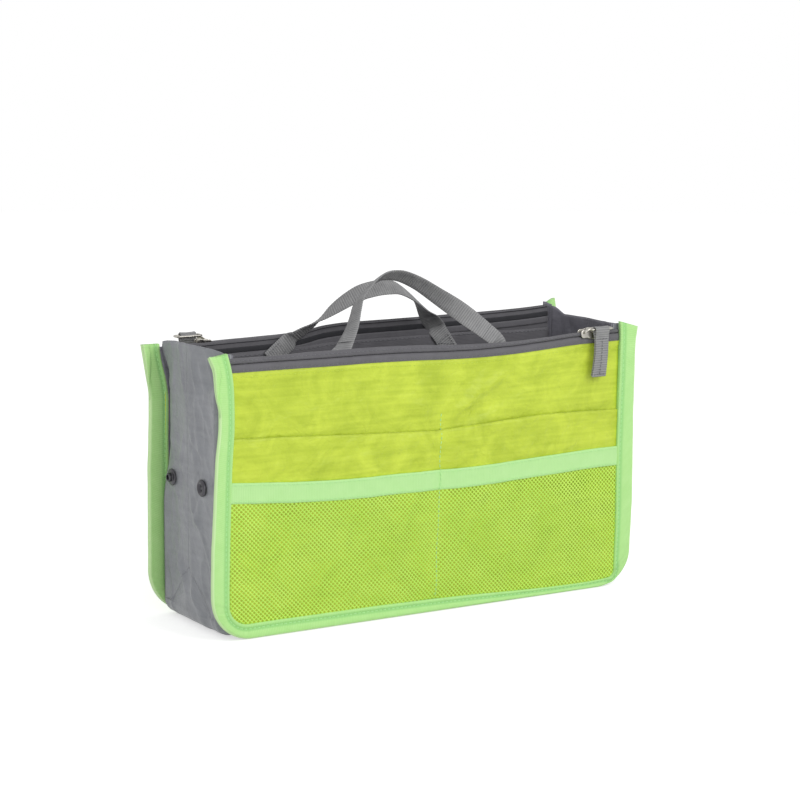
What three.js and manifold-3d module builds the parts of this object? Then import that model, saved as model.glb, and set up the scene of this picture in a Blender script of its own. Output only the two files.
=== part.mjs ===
// Bag organiser: an open-topped insert with two flat pocket walls, a folding gusset and base,
// a zip and a webbing handle on each wall, and snaps that hold the gusset folded.
// Millimetres, +Z up, +X along the bag's length, -Y the front wall, origin at the bottom centre.

import * as THREE from 'three';
import { mergeVertices } from 'three/addons/utils/BufferGeometryUtils.js';
import Module from 'manifold-3d';

const wasm = await Module();
wasm.setup();

// Overall sizes, over the bound edges
const BAG_WIDTH = 308;
const BAG_HEIGHT = 170;
const BAG_DEPTH = 85;
const CORNER_RADIUS = 28;

// Gaps between neighbours: seated, and hanging freely
const SEAT_GAP = 0.3;
const SWING_GAP = 1;
const FOLD_GAP = 0.5;
const STRAP_GAP = 0.4;

// How far parts of one piece run into each other before they are joined, how far a cutter reaches
// past what it cuts, and how near two corners count as one
const JOIN_OVERLAP = 0.01;
const CUT_MARGIN = 1;
const WELD_DISTANCE = 1e-4;

// Cloth and binding
const CLOTH = 0.8;
const BINDING_SIDE = 14;
const BINDING_BOTTOM = 8;
const BINDING_THICKNESS = 3.2;
const BINDING_INNER_RADIUS = 14;
const ZIP_POCKET_GAP = 1.7;

// Pockets on each wall, as heights above the ground
const FLAT_POCKET_TOP = 116;
const BAND_TOP = 91;
const BAND_HEIGHT = 13;
const BAND_THICKNESS = 1.1;

// Net of the lower pocket
const NET_COLUMNS = 12;
const NET_ROWS = 5;
const NET_CORD = 1.7;
const NET_BORDER = 3;

// Hem along the top of the lining
const HEM_HEIGHT = 12;
const HEM_THICKNESS = 2;

// Zip along the top edge
const ZIP_TAPE = 0.7;
const ZIP_TAPE_HEIGHT = 8;
const ZIP_TOP_DROP = 0.6;
const COIL_WIDTH = 2.1;
const COIL_HEIGHT = 2.2;
const COIL_GAP = 1.2;
const ZIP_END_INSET = 12;
const STOP_LENGTH = 2.5;
const SLIDER_LENGTH = 12;
const SLIDER_WALL = 0.9;
const SLIDER_LIP = 1.05;
const SLIDER_INSET = 24;
const SLIDER_POST_WIDTH = 0.6;
const SLIDER_POST_LENGTH = 2;
const SLIDER_POST_INSET = 1;
const BAIL_LENGTH = 7.2;
const BAIL_WIDTH = 2.4;
const BAIL_WALL = 0.9;

// Pull ring and its webbing tab
const RING_WIRE = 1.4;
const RING_LENGTH = 19;
const RING_INNER_REACH = 2.35;
const TAB_LENGTH = 35;
const TAB_PLY = 1.1;

// Handles of flat webbing
const WEBBING_WIDTH = 12;
const WEBBING_THICKNESS = 1;
const HANDLE_SPREAD = 122;
const FRONT_HANDLE_HEIGHT = 41.5;
const BACK_HANDLE_HEIGHT = 33.5;
const HANDLE_CREST_OFFSET = 5;
const HANDLE_LINK = 10;
const HANDLE_STEPS = 26;
const HANDLE_SIDE_BULGE = 1.18;
const HANDLE_CREST_SHARPNESS = 1.2;
const HANDLE_TWIST_DELAY = 1.3;

// Gusset and base
const GUSSET_INSET = 7.4;
const BASE_LIFT = 1.2;
const GUSSET_RADIUS = 10;
const FOLD_CLEARANCE = 1.5;
const CREASE_GAP = 0.3;

// Snaps
const SNAP_HEIGHT = 89;
const SNAP_FROM_CREASE = 20;
const SNAP_RADIUS = 5.2;
const SNAP_RISE = 1.8;
const SNAP_BORE = 1.6;
const SNAP_BEVEL = 0.6;
const SNAP_CAP = 1;
const SNAP_SHANK = 1.2;
const SOCKET_CROWN = 1;
const SOCKET_THROAT = 0.9;
const STUD_SHOULDER = 1.2;
const STUD_NUB = 1.4;
const STUD_NUB_WALL = 1;

const ARC_STEPS = 7;
const ROUND_STEPS = 20;

// Depths into a wall from its outer face
const netOut = SEAT_GAP;
const netIn = netOut + CLOTH;
const flatOut = netIn + SEAT_GAP;
const flatIn = flatOut + CLOTH;
const outerOut = flatIn + SEAT_GAP;
const outerIn = outerOut + CLOTH;
const innerOut = outerIn + ZIP_POCKET_GAP;
const innerIn = innerOut + CLOTH;
const liningOut = innerIn + SEAT_GAP;
const hemIn = liningOut + HEM_THICKNESS;
const zipCentre = (outerOut + innerIn) / 2;
const chainHalf = COIL_GAP / 2 + COIL_WIDTH;
const sliderHalf = chainHalf + SEAT_GAP + SLIDER_WALL;
const marginOut = Math.max(BINDING_THICKNESS, outerIn) + SEAT_GAP;
const foldDepth = hemIn + FOLD_GAP;
const strapOut = Math.max(hemIn, zipCentre + sliderHalf) + STRAP_GAP;
const strapMid = strapOut + WEBBING_THICKNESS / 2;

// Heights
const coilTop = BAG_HEIGHT - ZIP_TOP_DROP;
const coilBottom = coilTop - COIL_HEIGHT;
const tapeBottom = coilBottom - ZIP_TAPE_HEIGHT;
const panelTop = tapeBottom - SEAT_GAP;
const bandBottom = BAND_TOP - BAND_HEIGHT;
const hemTop = panelTop;
const hemBottom = hemTop - HEM_HEIGHT;
const handleHinge = coilBottom - SEAT_GAP - SLIDER_WALL;

// Half widths
const halfWidth = BAG_WIDTH / 2;
const panelHalf = halfWidth - BINDING_SIDE - SEAT_GAP;
const panelBottom = BINDING_BOTTOM + SEAT_GAP;
const panelRadius = BINDING_INNER_RADIUS - SEAT_GAP;
const gussetHalf = halfWidth - GUSSET_INSET;
const liningHalf = gussetHalf - CLOTH - SEAT_GAP;
const liningBottom = BASE_LIFT + CLOTH + SEAT_GAP;
const liningRadius = GUSSET_RADIUS - CLOTH - SEAT_GAP;
const coilEnd = panelHalf - ZIP_END_INSET;

// Fold line of the gusset and base against each wall, measured from the middle of the bag, and
// where the folding halves themselves begin
const foldHalf = BAG_DEPTH / 2 - foldDepth;
const foldRoot = foldHalf - SEAT_GAP / 3;

function finish(color, roughness, metalness = 0) {
  return new THREE.MeshStandardMaterial({ color, roughness, metalness });
}

const finishes = {
  lime: () => finish('#c3d83a', 0.55),
  net: () => finish('#b2dc3f', 0.7),
  mint: () => finish('#a9e79a', 0.7),
  grey: () => finish('#85878b', 0.6),
  lining: () => finish('#5c5c63', 0.65),
  tape: () => finish('#66656b', 0.8),
  webbing: () => finish('#858585', 0.85),
  metal: () => finish('#b9b6b0', 0.3, 1),
  gunmetal: () => finish('#4b4a4c', 0.35, 1),
};

function piece(name, geometry, material) {
  const mesh = new THREE.Mesh(geometry, material());
  mesh.name = name;
  return mesh;
}

// Joining and cutting of closed meshes
function toSolid(geometry) {
  const bare = geometry.clone();
  bare.deleteAttribute('normal');
  bare.deleteAttribute('uv');
  const merged = mergeVertices(bare, WELD_DISTANCE);
  return new wasm.Manifold(new wasm.Mesh({
    numProp: 3,
    vertProperties: new Float32Array(merged.attributes.position.array),
    triVerts: new Uint32Array(merged.index.array),
  }));
}

function toGeometry(solid) {
  const mesh = solid.getMesh();
  const geometry = new THREE.BufferGeometry();
  geometry.setAttribute('position', new THREE.BufferAttribute(mesh.vertProperties, mesh.numProp));
  geometry.setIndex(new THREE.BufferAttribute(mesh.triVerts, 1));
  return geometry;
}

function joined(...geometries) {
  return toGeometry(geometries.map(toSolid).reduce((sum, solid) => sum.add(solid)));
}

function cut(geometry, ...tools) {
  return toGeometry(tools.map(toSolid).reduce((rest, tool) => rest.subtract(tool), toSolid(geometry)));
}

// Plates: an outline extruded along one axis between two places
function extruded(outline, depth) {
  const shape = outline instanceof THREE.Shape ? outline : new THREE.Shape(outline);
  return new THREE.ExtrudeGeometry(shape, { depth, bevelEnabled: false });
}

function plateAlongY(outline, yLow, yHigh) {
  const geometry = extruded(outline, yHigh - yLow);
  return geometry.rotateX(Math.PI / 2).translate(0, yHigh, 0);
}

function plateAlongX(outlineYZ, xLow, xHigh) {
  const geometry = extruded(outlineYZ, xHigh - xLow);
  const turn = new THREE.Matrix4().set(0, 0, 1, xLow, 1, 0, 0, 0, 0, 1, 0, 0, 0, 0, 0, 1);
  return geometry.applyMatrix4(turn);
}

function plateAlongZ(outlineXY, zLow, zHigh) {
  return extruded(outlineXY, zHigh - zLow).translate(0, 0, zLow);
}

function block(x, y, z) {
  const geometry = new THREE.BoxGeometry(x[1] - x[0], y[1] - y[0], z[1] - z[0]);
  return geometry.translate((x[0] + x[1]) / 2, (y[0] + y[1]) / 2, (z[0] + z[1]) / 2);
}

function points(...pairs) {
  return pairs.map(([a, b]) => new THREE.Vector2(a, b));
}

function roundHole(x, y, radius) {
  const rim = [];
  for (let i = 0; i < ROUND_STEPS; i += 1) {
    const angle = -i / ROUND_STEPS * Math.PI * 2;
    rim.push(new THREE.Vector2(x + radius * Math.cos(angle), y + radius * Math.sin(angle)));
  }
  return new THREE.Path(rim);
}

// Outline of a wall with square top corners and rounded bottom corners, from top left to top right
function cradle(half, bottom, top, radius) {
  const outline = points([-half, top]);
  for (const side of [-1, 1]) {
    for (let i = 0; i <= ARC_STEPS; i += 1) {
      const share = side < 0 ? i / ARC_STEPS : 1 - i / ARC_STEPS;
      const angle = share * Math.PI / 2;
      const x = half - radius + radius * Math.cos(angle);
      outline.push(new THREE.Vector2(side * x, bottom + radius - radius * Math.sin(angle)));
    }
  }
  outline.push(new THREE.Vector2(half, top));
  return outline;
}

function cradleStrip(outer, inner) {
  return [...outer, ...inner.slice().reverse()];
}

// A depth into the front wall as a place along Y
function yAt(depth) {
  return -BAG_DEPTH / 2 + depth;
}

function layer(outline, depthOut, depthIn) {
  return plateAlongY(outline, yAt(depthOut), yAt(depthIn));
}

// Net: a plate with diamond gaps in two fields, one on each side of the centre seam
function netOutline() {
  const shape = new THREE.Shape(cradle(panelHalf, panelBottom, bandBottom - SEAT_GAP, panelRadius));
  const low = panelBottom + NET_BORDER;
  const high = bandBottom - SEAT_GAP - NET_BORDER;
  const pitchX = (panelHalf - 2 * NET_BORDER) / NET_COLUMNS;
  const pitchZ = (high - low) / NET_ROWS;
  const reachX = (pitchX - NET_CORD) / 2;
  const reachZ = (pitchZ - NET_CORD) / 2;
  for (const side of [-1, 1]) {
    for (let column = 0; column < NET_COLUMNS; column += 1) {
      const x = side * (NET_BORDER + pitchX * (column + 0.5));
      for (let row = 0; row < NET_ROWS; row += 1) {
        const z = low + pitchZ * (row + 0.5);
        const inCorner = Math.abs(x) > panelHalf - panelRadius && z < panelBottom + panelRadius;
        if (!inCorner) {
          const gap = points([x, z - reachZ], [x + reachX, z], [x, z + reachZ], [x - reachX, z]);
          shape.holes.push(new THREE.Path(gap));
        }
      }
    }
  }
  return shape;
}

// Zip tape with its half of the coil
function zipTape(side) {
  const tapeOut = side < 0 ? outerOut : innerIn - ZIP_TAPE;
  const coilNear = zipCentre + side * COIL_GAP / 2;
  const coilFar = coilNear + side * COIL_WIDTH;
  const tape = block(
    [-panelHalf, panelHalf],
    [yAt(tapeOut), yAt(tapeOut + ZIP_TAPE)],
    [tapeBottom, coilBottom],
  );
  const coil = block(
    [-coilEnd, coilEnd],
    [yAt(Math.min(coilNear, coilFar)), yAt(Math.max(coilNear, coilFar))],
    [coilBottom - JOIN_OVERLAP, coilTop],
  );
  return joined(tape, coil);
}

function zipStop(end) {
  const near = coilEnd + SEAT_GAP;
  const xs = [near, near + STOP_LENGTH].map((x) => end * x).sort((a, b) => a - b);
  return block(xs, [yAt(zipCentre - chainHalf), yAt(zipCentre + chainHalf)], [coilBottom + SEAT_GAP, coilTop]);
}

const sliderX = halfWidth - BINDING_SIDE - SLIDER_INSET;
const sliderTop = coilTop + SEAT_GAP + SLIDER_WALL;
const ringAxisZ = sliderTop + SEAT_GAP + RING_WIRE / 2;
const ringOuterReach = zipCentre + SWING_GAP + TAB_PLY;

// Zip slider: a channel that grips the chain, a post between the coils and a bail on top
function zipSlider() {
  const inner = chainHalf + SEAT_GAP;
  const low = coilBottom - SEAT_GAP - SLIDER_WALL;
  const lip = inner - SLIDER_LIP;
  const section = points(
    [-sliderHalf, low], [-lip, low], [-lip, low + SLIDER_WALL], [-inner, low + SLIDER_WALL],
    [-inner, coilTop + SEAT_GAP], [inner, coilTop + SEAT_GAP], [inner, low + SLIDER_WALL],
    [lip, low + SLIDER_WALL], [lip, low], [sliderHalf, low], [sliderHalf, sliderTop], [-sliderHalf, sliderTop],
  );
  const from = sliderX - SLIDER_LENGTH / 2;
  const channel = plateAlongX(section, from, from + SLIDER_LENGTH).translate(0, yAt(zipCentre), 0);
  const post = block(
    [from + SLIDER_POST_INSET, from + SLIDER_POST_INSET + SLIDER_POST_LENGTH],
    [yAt(zipCentre - SLIDER_POST_WIDTH / 2), yAt(zipCentre + SLIDER_POST_WIDTH / 2)],
    [coilBottom, sliderTop - SLIDER_WALL / 2],
  );
  const bailTop = ringAxisZ + RING_WIRE / 2 + SEAT_GAP + BAIL_WALL;
  const bridge = block(
    [sliderX - BAIL_LENGTH / 2, sliderX + BAIL_LENGTH / 2],
    [yAt(zipCentre) - BAIL_WIDTH / 2, yAt(zipCentre) + BAIL_WIDTH / 2],
    [sliderTop - SLIDER_WALL / 2, bailTop],
  );
  const eye = block(
    [sliderX - BAIL_LENGTH / 2 + BAIL_WALL, sliderX + BAIL_LENGTH / 2 - BAIL_WALL],
    [yAt(zipCentre) - BAIL_WIDTH, yAt(zipCentre) + BAIL_WIDTH],
    [sliderTop, bailTop - BAIL_WALL],
  );
  return joined(channel, post, cut(bridge, eye));
}

// Pull ring: a wire frame that lies along the zip, hung in the bail by its short side
const ringHingeX = sliderX;
const ringInnerY = yAt(zipCentre) + RING_INNER_REACH;
const ringOuterY = yAt(zipCentre) - ringOuterReach;

function pullRing() {
  const half = RING_WIRE / 2;
  const low = ringAxisZ - half;
  const high = ringAxisZ + half;
  const far = ringHingeX + RING_LENGTH;
  const frame = plateAlongZ(points(
    [ringHingeX - half, ringOuterY - half], [far + half, ringOuterY - half],
    [far + half, ringInnerY + half], [ringHingeX - half, ringInnerY + half],
  ), low, high);
  const opening = block(
    [ringHingeX + half, far - half],
    [ringOuterY + half, ringInnerY - half],
    [low - CUT_MARGIN, high + CUT_MARGIN],
  );
  return cut(frame, opening);
}

// Pull tab: webbing looped over the ring's long side and sewn to itself
const tabFar = ringHingeX + RING_LENGTH - RING_WIRE / 2 - STRAP_GAP;

function pullTab() {
  const bore = RING_WIRE / Math.SQRT2 + SEAT_GAP;
  const loop = bore + TAB_PLY;
  const outline = [];
  for (let i = 0; i <= ARC_STEPS * 2; i += 1) {
    const angle = i / (ARC_STEPS * 2) * Math.PI;
    outline.push(new THREE.Vector2(loop * Math.cos(angle), loop * Math.sin(angle)));
  }
  outline.push(...points([-TAB_PLY, -loop * 2], [-TAB_PLY, -TAB_LENGTH]));
  outline.push(...points([TAB_PLY, -TAB_LENGTH], [TAB_PLY, -loop * 2]));
  const shape = new THREE.Shape(outline);
  shape.holes.push(roundHole(0, 0, bore));
  const tab = extruded(shape, WEBBING_WIDTH);
  const turn = new THREE.Matrix4().set(
    0, 0, 1, tabFar - WEBBING_WIDTH,
    1, 0, 0, ringOuterY,
    0, 1, 0, ringAxisZ,
    0, 0, 0, 1,
  );
  return tab.applyMatrix4(turn);
}

// Flat strap along stations that each give a centre and the directions of width and thickness
function strap(stations) {
  const corners = [];
  for (const { centre, across, through } of stations) {
    for (const [a, b] of [[-1, -1], [1, -1], [1, 1], [-1, 1]]) {
      const corner = centre.clone();
      corner.addScaledVector(across, a * WEBBING_WIDTH / 2);
      corner.addScaledVector(through, b * WEBBING_THICKNESS / 2);
      corners.push(corner.x, corner.y, corner.z);
    }
  }
  const faces = [];
  const last = (stations.length - 1) * 4;
  for (let i = 0; i < last; i += 4) {
    for (let k = 0; k < 4; k += 1) {
      const next = (k + 1) % 4;
      faces.push(i + k, i + next, i + 4 + next, i + k, i + 4 + next, i + 4 + k);
    }
  }
  faces.push(0, 2, 1, 0, 3, 2, last, last + 1, last + 2, last, last + 2, last + 3);
  const geometry = new THREE.BufferGeometry();
  geometry.setAttribute('position', new THREE.Float32BufferAttribute(corners, 3));
  geometry.setIndex(faces);
  return geometry;
}

// Handle frame: it leans from its hinge on the wall to a crest near the middle of the bag
function handleFrame(height) {
  const run = -yAt(strapMid) - HANDLE_CREST_OFFSET;
  const lean = Math.atan2(run, height);
  return {
    lean,
    length: Math.hypot(run, height),
    up: new THREE.Vector3(0, Math.sin(lean), Math.cos(lean)),
    out: new THREE.Vector3(0, Math.cos(lean), -Math.sin(lean)),
    at(x, rise) {
      return new THREE.Vector3(x, yAt(strapMid), handleHinge).addScaledVector(this.up, rise);
    },
  };
}

// Arch of the handle, which twists a quarter turn from each foot to the crest
function handleArch(frame) {
  const foot = HANDLE_LINK + SEAT_GAP;
  const rise = frame.length - foot;
  const half = HANDLE_SPREAD / 2;
  const along = new THREE.Vector3(1, 0, 0);
  const spine = [];
  for (let i = 0; i <= HANDLE_STEPS; i += 1) {
    const angle = i / HANDLE_STEPS * Math.PI;
    const x = -Math.sign(Math.cos(angle)) * half * Math.abs(Math.cos(angle)) ** HANDLE_SIDE_BULGE;
    spine.push([x, foot + rise * Math.sin(angle) ** HANDLE_CREST_SHARPNESS]);
  }
  const stations = spine.map(([x, height], i) => {
    const before = spine[Math.max(i - 1, 0)];
    const after = spine[Math.min(i + 1, HANDLE_STEPS)];
    const atFoot = i === 0 || i === HANDLE_STEPS;
    const run = atFoot ? 0 : after[0] - before[0];
    const climb = atFoot ? (i === 0 ? 1 : -1) : after[1] - before[1];
    const tangent = along.clone().multiplyScalar(run).addScaledVector(frame.up, climb).normalize();
    const flat = new THREE.Vector3().crossVectors(tangent, frame.out).normalize();
    const turn = Math.sin(i / HANDLE_STEPS * Math.PI) ** HANDLE_TWIST_DELAY * Math.PI / 2;
    const across = flat.clone().multiplyScalar(Math.cos(turn)).addScaledVector(frame.out, Math.sin(turn));
    const through = new THREE.Vector3().crossVectors(tangent, across).normalize();
    return { centre: frame.at(x, height), across, through };
  });
  return strap(stations);
}

// Straight strap between two places
function straightStrap(from, to, thicknessDirection) {
  const along = to.clone().sub(from).normalize();
  const across = new THREE.Vector3().crossVectors(thicknessDirection, along).normalize();
  const station = (centre) => ({ centre, across, through: thicknessDirection });
  return strap([station(from), station(to)]);
}

// One pocket wall with its zip and handle, as the front wall
function pocketWall(side, handleHeight) {
  const wall = new THREE.Group();
  const add = (name, geometry, material) => wall.add(piece(`${side}_${name}`, geometry, material));

  const panel = (top) => cradle(panelHalf, panelBottom, top, panelRadius);
  const lining = (top) => cradle(liningHalf, liningBottom, top, liningRadius);
  add('mesh_pocket', layer(netOutline(), netOut, netIn), finishes.net);
  add('mesh_pocket_band', block(
    [-panelHalf, panelHalf],
    [yAt(0), yAt(BAND_THICKNESS)],
    [bandBottom, BAND_TOP],
  ), finishes.mint);
  add('flat_pocket', layer(panel(FLAT_POCKET_TOP), flatOut, flatIn), finishes.lime);
  add('outer_panel', layer(panel(panelTop), outerOut, outerIn), finishes.lime);
  add('inner_panel', layer(lining(panelTop), innerOut, innerIn), finishes.lining);
  add('inner_pocket', layer(lining(hemBottom - SEAT_GAP), liningOut, liningOut + CLOTH), finishes.lining);
  const hem = block([-liningHalf, liningHalf], [yAt(liningOut), yAt(hemIn)], [hemBottom, hemTop]);
  add('inner_hem', hem, finishes.tape);

  const bindingOutline = cradleStrip(
    cradle(halfWidth, 0, BAG_HEIGHT, CORNER_RADIUS),
    cradle(halfWidth - BINDING_SIDE, BINDING_BOTTOM, BAG_HEIGHT, BINDING_INNER_RADIUS),
  );
  add('edge_binding', layer(bindingOutline, 0, BINDING_THICKNESS), finishes.mint);
  const marginOutline = cradleStrip(
    cradle(gussetHalf, BASE_LIFT, BAG_HEIGHT, GUSSET_RADIUS),
    cradle(gussetHalf - CLOTH, BASE_LIFT + CLOTH, BAG_HEIGHT, GUSSET_RADIUS - CLOTH),
  );
  add('gusset_margin', layer(marginOutline, marginOut, foldDepth - SEAT_GAP), finishes.grey);

  add('zip_outer_tape', zipTape(-1), finishes.tape);
  add('zip_inner_tape', zipTape(1), finishes.tape);
  add('zip_stop_left', zipStop(-1), finishes.gunmetal);
  add('zip_stop_right', zipStop(1), finishes.gunmetal);
  add('zip_slider', zipSlider(), finishes.metal);
  add('pull_ring', pullRing(), finishes.metal);
  add('pull_tab', pullTab(), finishes.webbing);

  const frame = handleFrame(handleHeight);
  const inward = new THREE.Vector3(0, 1, 0);
  for (const [label, x] of [['left', -HANDLE_SPREAD / 2], ['right', HANDLE_SPREAD / 2]]) {
    const low = new THREE.Vector3(x, yAt(strapMid), hemBottom + SEAT_GAP);
    const high = new THREE.Vector3(x, yAt(strapMid), handleHinge - SEAT_GAP);
    add(`handle_end_${label}`, straightStrap(low, high, inward), finishes.webbing);
    const link = straightStrap(frame.at(x, SEAT_GAP), frame.at(x, HANDLE_LINK - SEAT_GAP / 2), frame.out);
    add(`handle_link_${label}`, link, finishes.webbing);
  }
  add('handle', handleArch(frame), finishes.webbing);
  return wall;
}

// Round corner between gusset and base, and how far from the fold lines their mitres start
const cornerTop = BASE_LIFT + GUSSET_RADIUS;
const cornerCentre = gussetHalf - GUSSET_RADIUS;
const mitreStart = GUSSET_RADIUS - CLOTH - FOLD_CLEARANCE + SEAT_GAP;

// Half outline of the side gusset in Y and Z, for the half at +Y
function gussetOutline() {
  const low = cornerTop + SEAT_GAP;
  const mid = CREASE_GAP / 2;
  return points(
    [foldRoot, low], [foldHalf - mitreStart, low], [mid, low + foldHalf - mitreStart - mid],
    [mid, BAG_HEIGHT], [foldRoot, BAG_HEIGHT],
  );
}

function mirrored(outline, sign) {
  const placed = outline.map((point) => new THREE.Vector2(sign * point.x, point.y));
  return THREE.ShapeUtils.isClockWise(placed) ? placed.reverse() : placed;
}

function gussetHalfSheet(side, end) {
  const shape = new THREE.Shape(mirrored(gussetOutline(), end));
  shape.holes.push(roundHole(end * SNAP_FROM_CREASE, SNAP_HEIGHT, SNAP_BORE));
  const xs = [gussetHalf - CLOTH, gussetHalf].map((x) => side * x).sort((a, b) => a - b);
  return plateAlongX(shape, xs[0], xs[1]);
}

// Half of the base: it reaches less far along the bag near the middle, where the gusset folds in
function baseHalfSheet(end) {
  const mid = CREASE_GAP / 2;
  const straight = cornerCentre - SEAT_GAP;
  const short = straight - (foldHalf - mitreStart - mid);
  const outline = points(
    [-straight, foldRoot], [-straight, foldHalf - mitreStart], [-short, mid],
    [short, mid], [straight, foldHalf - mitreStart], [straight, foldRoot],
  );
  const flipped = outline.map((point) => new THREE.Vector2(point.x, end * point.y));
  return plateAlongZ(flipped, BASE_LIFT, BASE_LIFT + CLOTH);
}

// Corner patch: the round strip between gusset and base, with a peak on each where they fold
function cornerPatch(side) {
  const outerArc = [];
  const innerArc = [];
  const centre = new THREE.Vector2(cornerCentre, cornerTop);
  for (let i = 0; i <= ARC_STEPS; i += 1) {
    const angle = i / ARC_STEPS * Math.PI / 2;
    const ray = new THREE.Vector2(Math.cos(angle), -Math.sin(angle));
    outerArc.push(centre.clone().addScaledVector(ray, GUSSET_RADIUS));
    innerArc.push(centre.clone().addScaledVector(ray, GUSSET_RADIUS - CLOTH));
  }
  const ring = [...outerArc, ...innerArc.reverse()];
  const arc = ring.map((point) => new THREE.Vector2(side * point.x, point.y));
  const strip = plateAlongY(arc, -foldRoot, foldRoot);
  const peakHalf = foldHalf - mitreStart - SEAT_GAP;
  const sideFoot = cornerTop - JOIN_OVERLAP;
  const sidePeak = points([-peakHalf, sideFoot], [peakHalf, sideFoot], [0, cornerTop + peakHalf]);
  const xs = [gussetHalf - CLOTH, gussetHalf].map((x) => side * x).sort((a, b) => a - b);
  const baseFoot = side * (cornerCentre + JOIN_OVERLAP);
  const basePeak = points([baseFoot, -peakHalf], [baseFoot, peakHalf], [side * (cornerCentre - peakHalf), 0]);
  return joined(strip, plateAlongX(sidePeak, xs[0], xs[1]), plateAlongZ(basePeak, BASE_LIFT, BASE_LIFT + CLOTH));
}

// Snap parts are turned about the X axis of the bag, at a snap's place on the gusset
function turned(profile, side, y) {
  const geometry = new THREE.LatheGeometry(points(...profile), ROUND_STEPS);
  geometry.rotateZ(-side * Math.PI / 2);
  return geometry.translate(side * gussetHalf, y, SNAP_HEIGHT);
}

function snapCap(side, y) {
  const face = -CLOTH - SEAT_GAP;
  const tip = SEAT_GAP + SNAP_RISE / 2;
  return turned([
    [0, face - SNAP_CAP], [SNAP_RADIUS - SNAP_BEVEL, face - SNAP_CAP], [SNAP_RADIUS, face - SNAP_CAP / 2],
    [SNAP_RADIUS, face], [SNAP_SHANK, face], [SNAP_SHANK, tip], [0, tip],
  ], side, y);
}

function snapSocket(side, y) {
  const foot = SEAT_GAP;
  const top = foot + SNAP_RISE;
  return turned([
    [SNAP_BORE, foot], [SNAP_RADIUS, foot], [SNAP_RADIUS, foot + SNAP_BEVEL],
    [SNAP_RADIUS - SOCKET_CROWN, top], [SNAP_BORE + SOCKET_THROAT, top],
    [SNAP_BORE, top - SNAP_BEVEL], [SNAP_BORE, foot],
  ], side, y);
}

function snapStud(side, y) {
  const foot = SEAT_GAP;
  const shoulder = foot + SNAP_RISE / 2;
  const tip = foot + SNAP_RISE + STUD_NUB;
  const nub = SNAP_BORE + STUD_NUB_WALL;
  return turned([
    [SNAP_BORE, foot], [SNAP_RADIUS, foot], [SNAP_RADIUS, foot + SNAP_BEVEL],
    [SNAP_RADIUS - STUD_SHOULDER, shoulder], [nub, shoulder], [nub, tip - SNAP_BEVEL],
    [nub - SNAP_BEVEL, tip], [SNAP_BORE, tip], [SNAP_BORE, foot],
  ], side, y);
}

const organiser = new THREE.Group();
organiser.add(pocketWall('front', FRONT_HANDLE_HEIGHT));

const backWall = pocketWall('back', BACK_HANDLE_HEIGHT);
backWall.rotation.z = Math.PI;
organiser.add(backWall);

for (const [label, side] of [['left', -1], ['right', 1]]) {
  for (const [half, end] of [['front', -1], ['rear', 1]]) {
    const name = `${label}_gusset_${half}`;
    organiser.add(piece(name, gussetHalfSheet(side, end), finishes.grey));
    const y = end * SNAP_FROM_CREASE;
    organiser.add(piece(`${label}_${half}_snap_cap`, snapCap(side, y), finishes.gunmetal));
    const mate = end < 0 ? ['socket', snapSocket] : ['stud', snapStud];
    organiser.add(piece(`${label}_${half}_snap_${mate[0]}`, mate[1](side, y), finishes.gunmetal));
  }
  organiser.add(piece(`${label}_corner_patch`, cornerPatch(side), finishes.grey));
}
organiser.add(piece('base_front', baseHalfSheet(-1), finishes.grey));
organiser.add(piece('base_rear', baseHalfSheet(1), finishes.grey));

export default organiser;
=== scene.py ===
"""Bag organiser insert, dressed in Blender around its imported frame.

Shapes are worked out in millimetres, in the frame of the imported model: +Z up, +X along the bag's
length, -Y the front wall. A wall is worked out in its own frame, which is x along the wall as seen
from outside, depth into the wall from its outer face, and z up.
"""
import sys

import logging
import math
from dataclasses import dataclass, field
from enum import Enum
from typing import Callable, Sequence

import bmesh
import bpy
import numpy as np
from mathutils import Matrix, Vector

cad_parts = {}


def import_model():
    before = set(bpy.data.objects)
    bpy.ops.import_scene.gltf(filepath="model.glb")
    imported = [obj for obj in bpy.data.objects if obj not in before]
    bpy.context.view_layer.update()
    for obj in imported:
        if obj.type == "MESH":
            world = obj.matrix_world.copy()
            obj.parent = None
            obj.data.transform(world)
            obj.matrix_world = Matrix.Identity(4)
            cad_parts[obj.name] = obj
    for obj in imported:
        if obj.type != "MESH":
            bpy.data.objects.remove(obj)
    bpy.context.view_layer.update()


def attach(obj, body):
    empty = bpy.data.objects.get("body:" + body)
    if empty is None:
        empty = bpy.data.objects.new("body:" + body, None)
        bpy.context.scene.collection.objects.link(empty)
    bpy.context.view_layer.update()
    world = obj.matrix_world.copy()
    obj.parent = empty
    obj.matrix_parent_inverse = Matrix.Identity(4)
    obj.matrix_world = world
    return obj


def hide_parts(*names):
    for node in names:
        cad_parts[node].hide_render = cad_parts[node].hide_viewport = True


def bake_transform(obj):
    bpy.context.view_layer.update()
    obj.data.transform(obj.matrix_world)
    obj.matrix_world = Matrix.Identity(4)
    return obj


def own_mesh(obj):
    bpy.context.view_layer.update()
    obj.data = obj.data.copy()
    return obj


LOG = logging.getLogger("bag_organiser")
Array = np.ndarray
Curve = Callable[[Array], Array]
Piece = bpy.types.Object
Tree = bpy.types.NodeTree
Socket = bpy.types.NodeSocket

MM = 0.001

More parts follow.
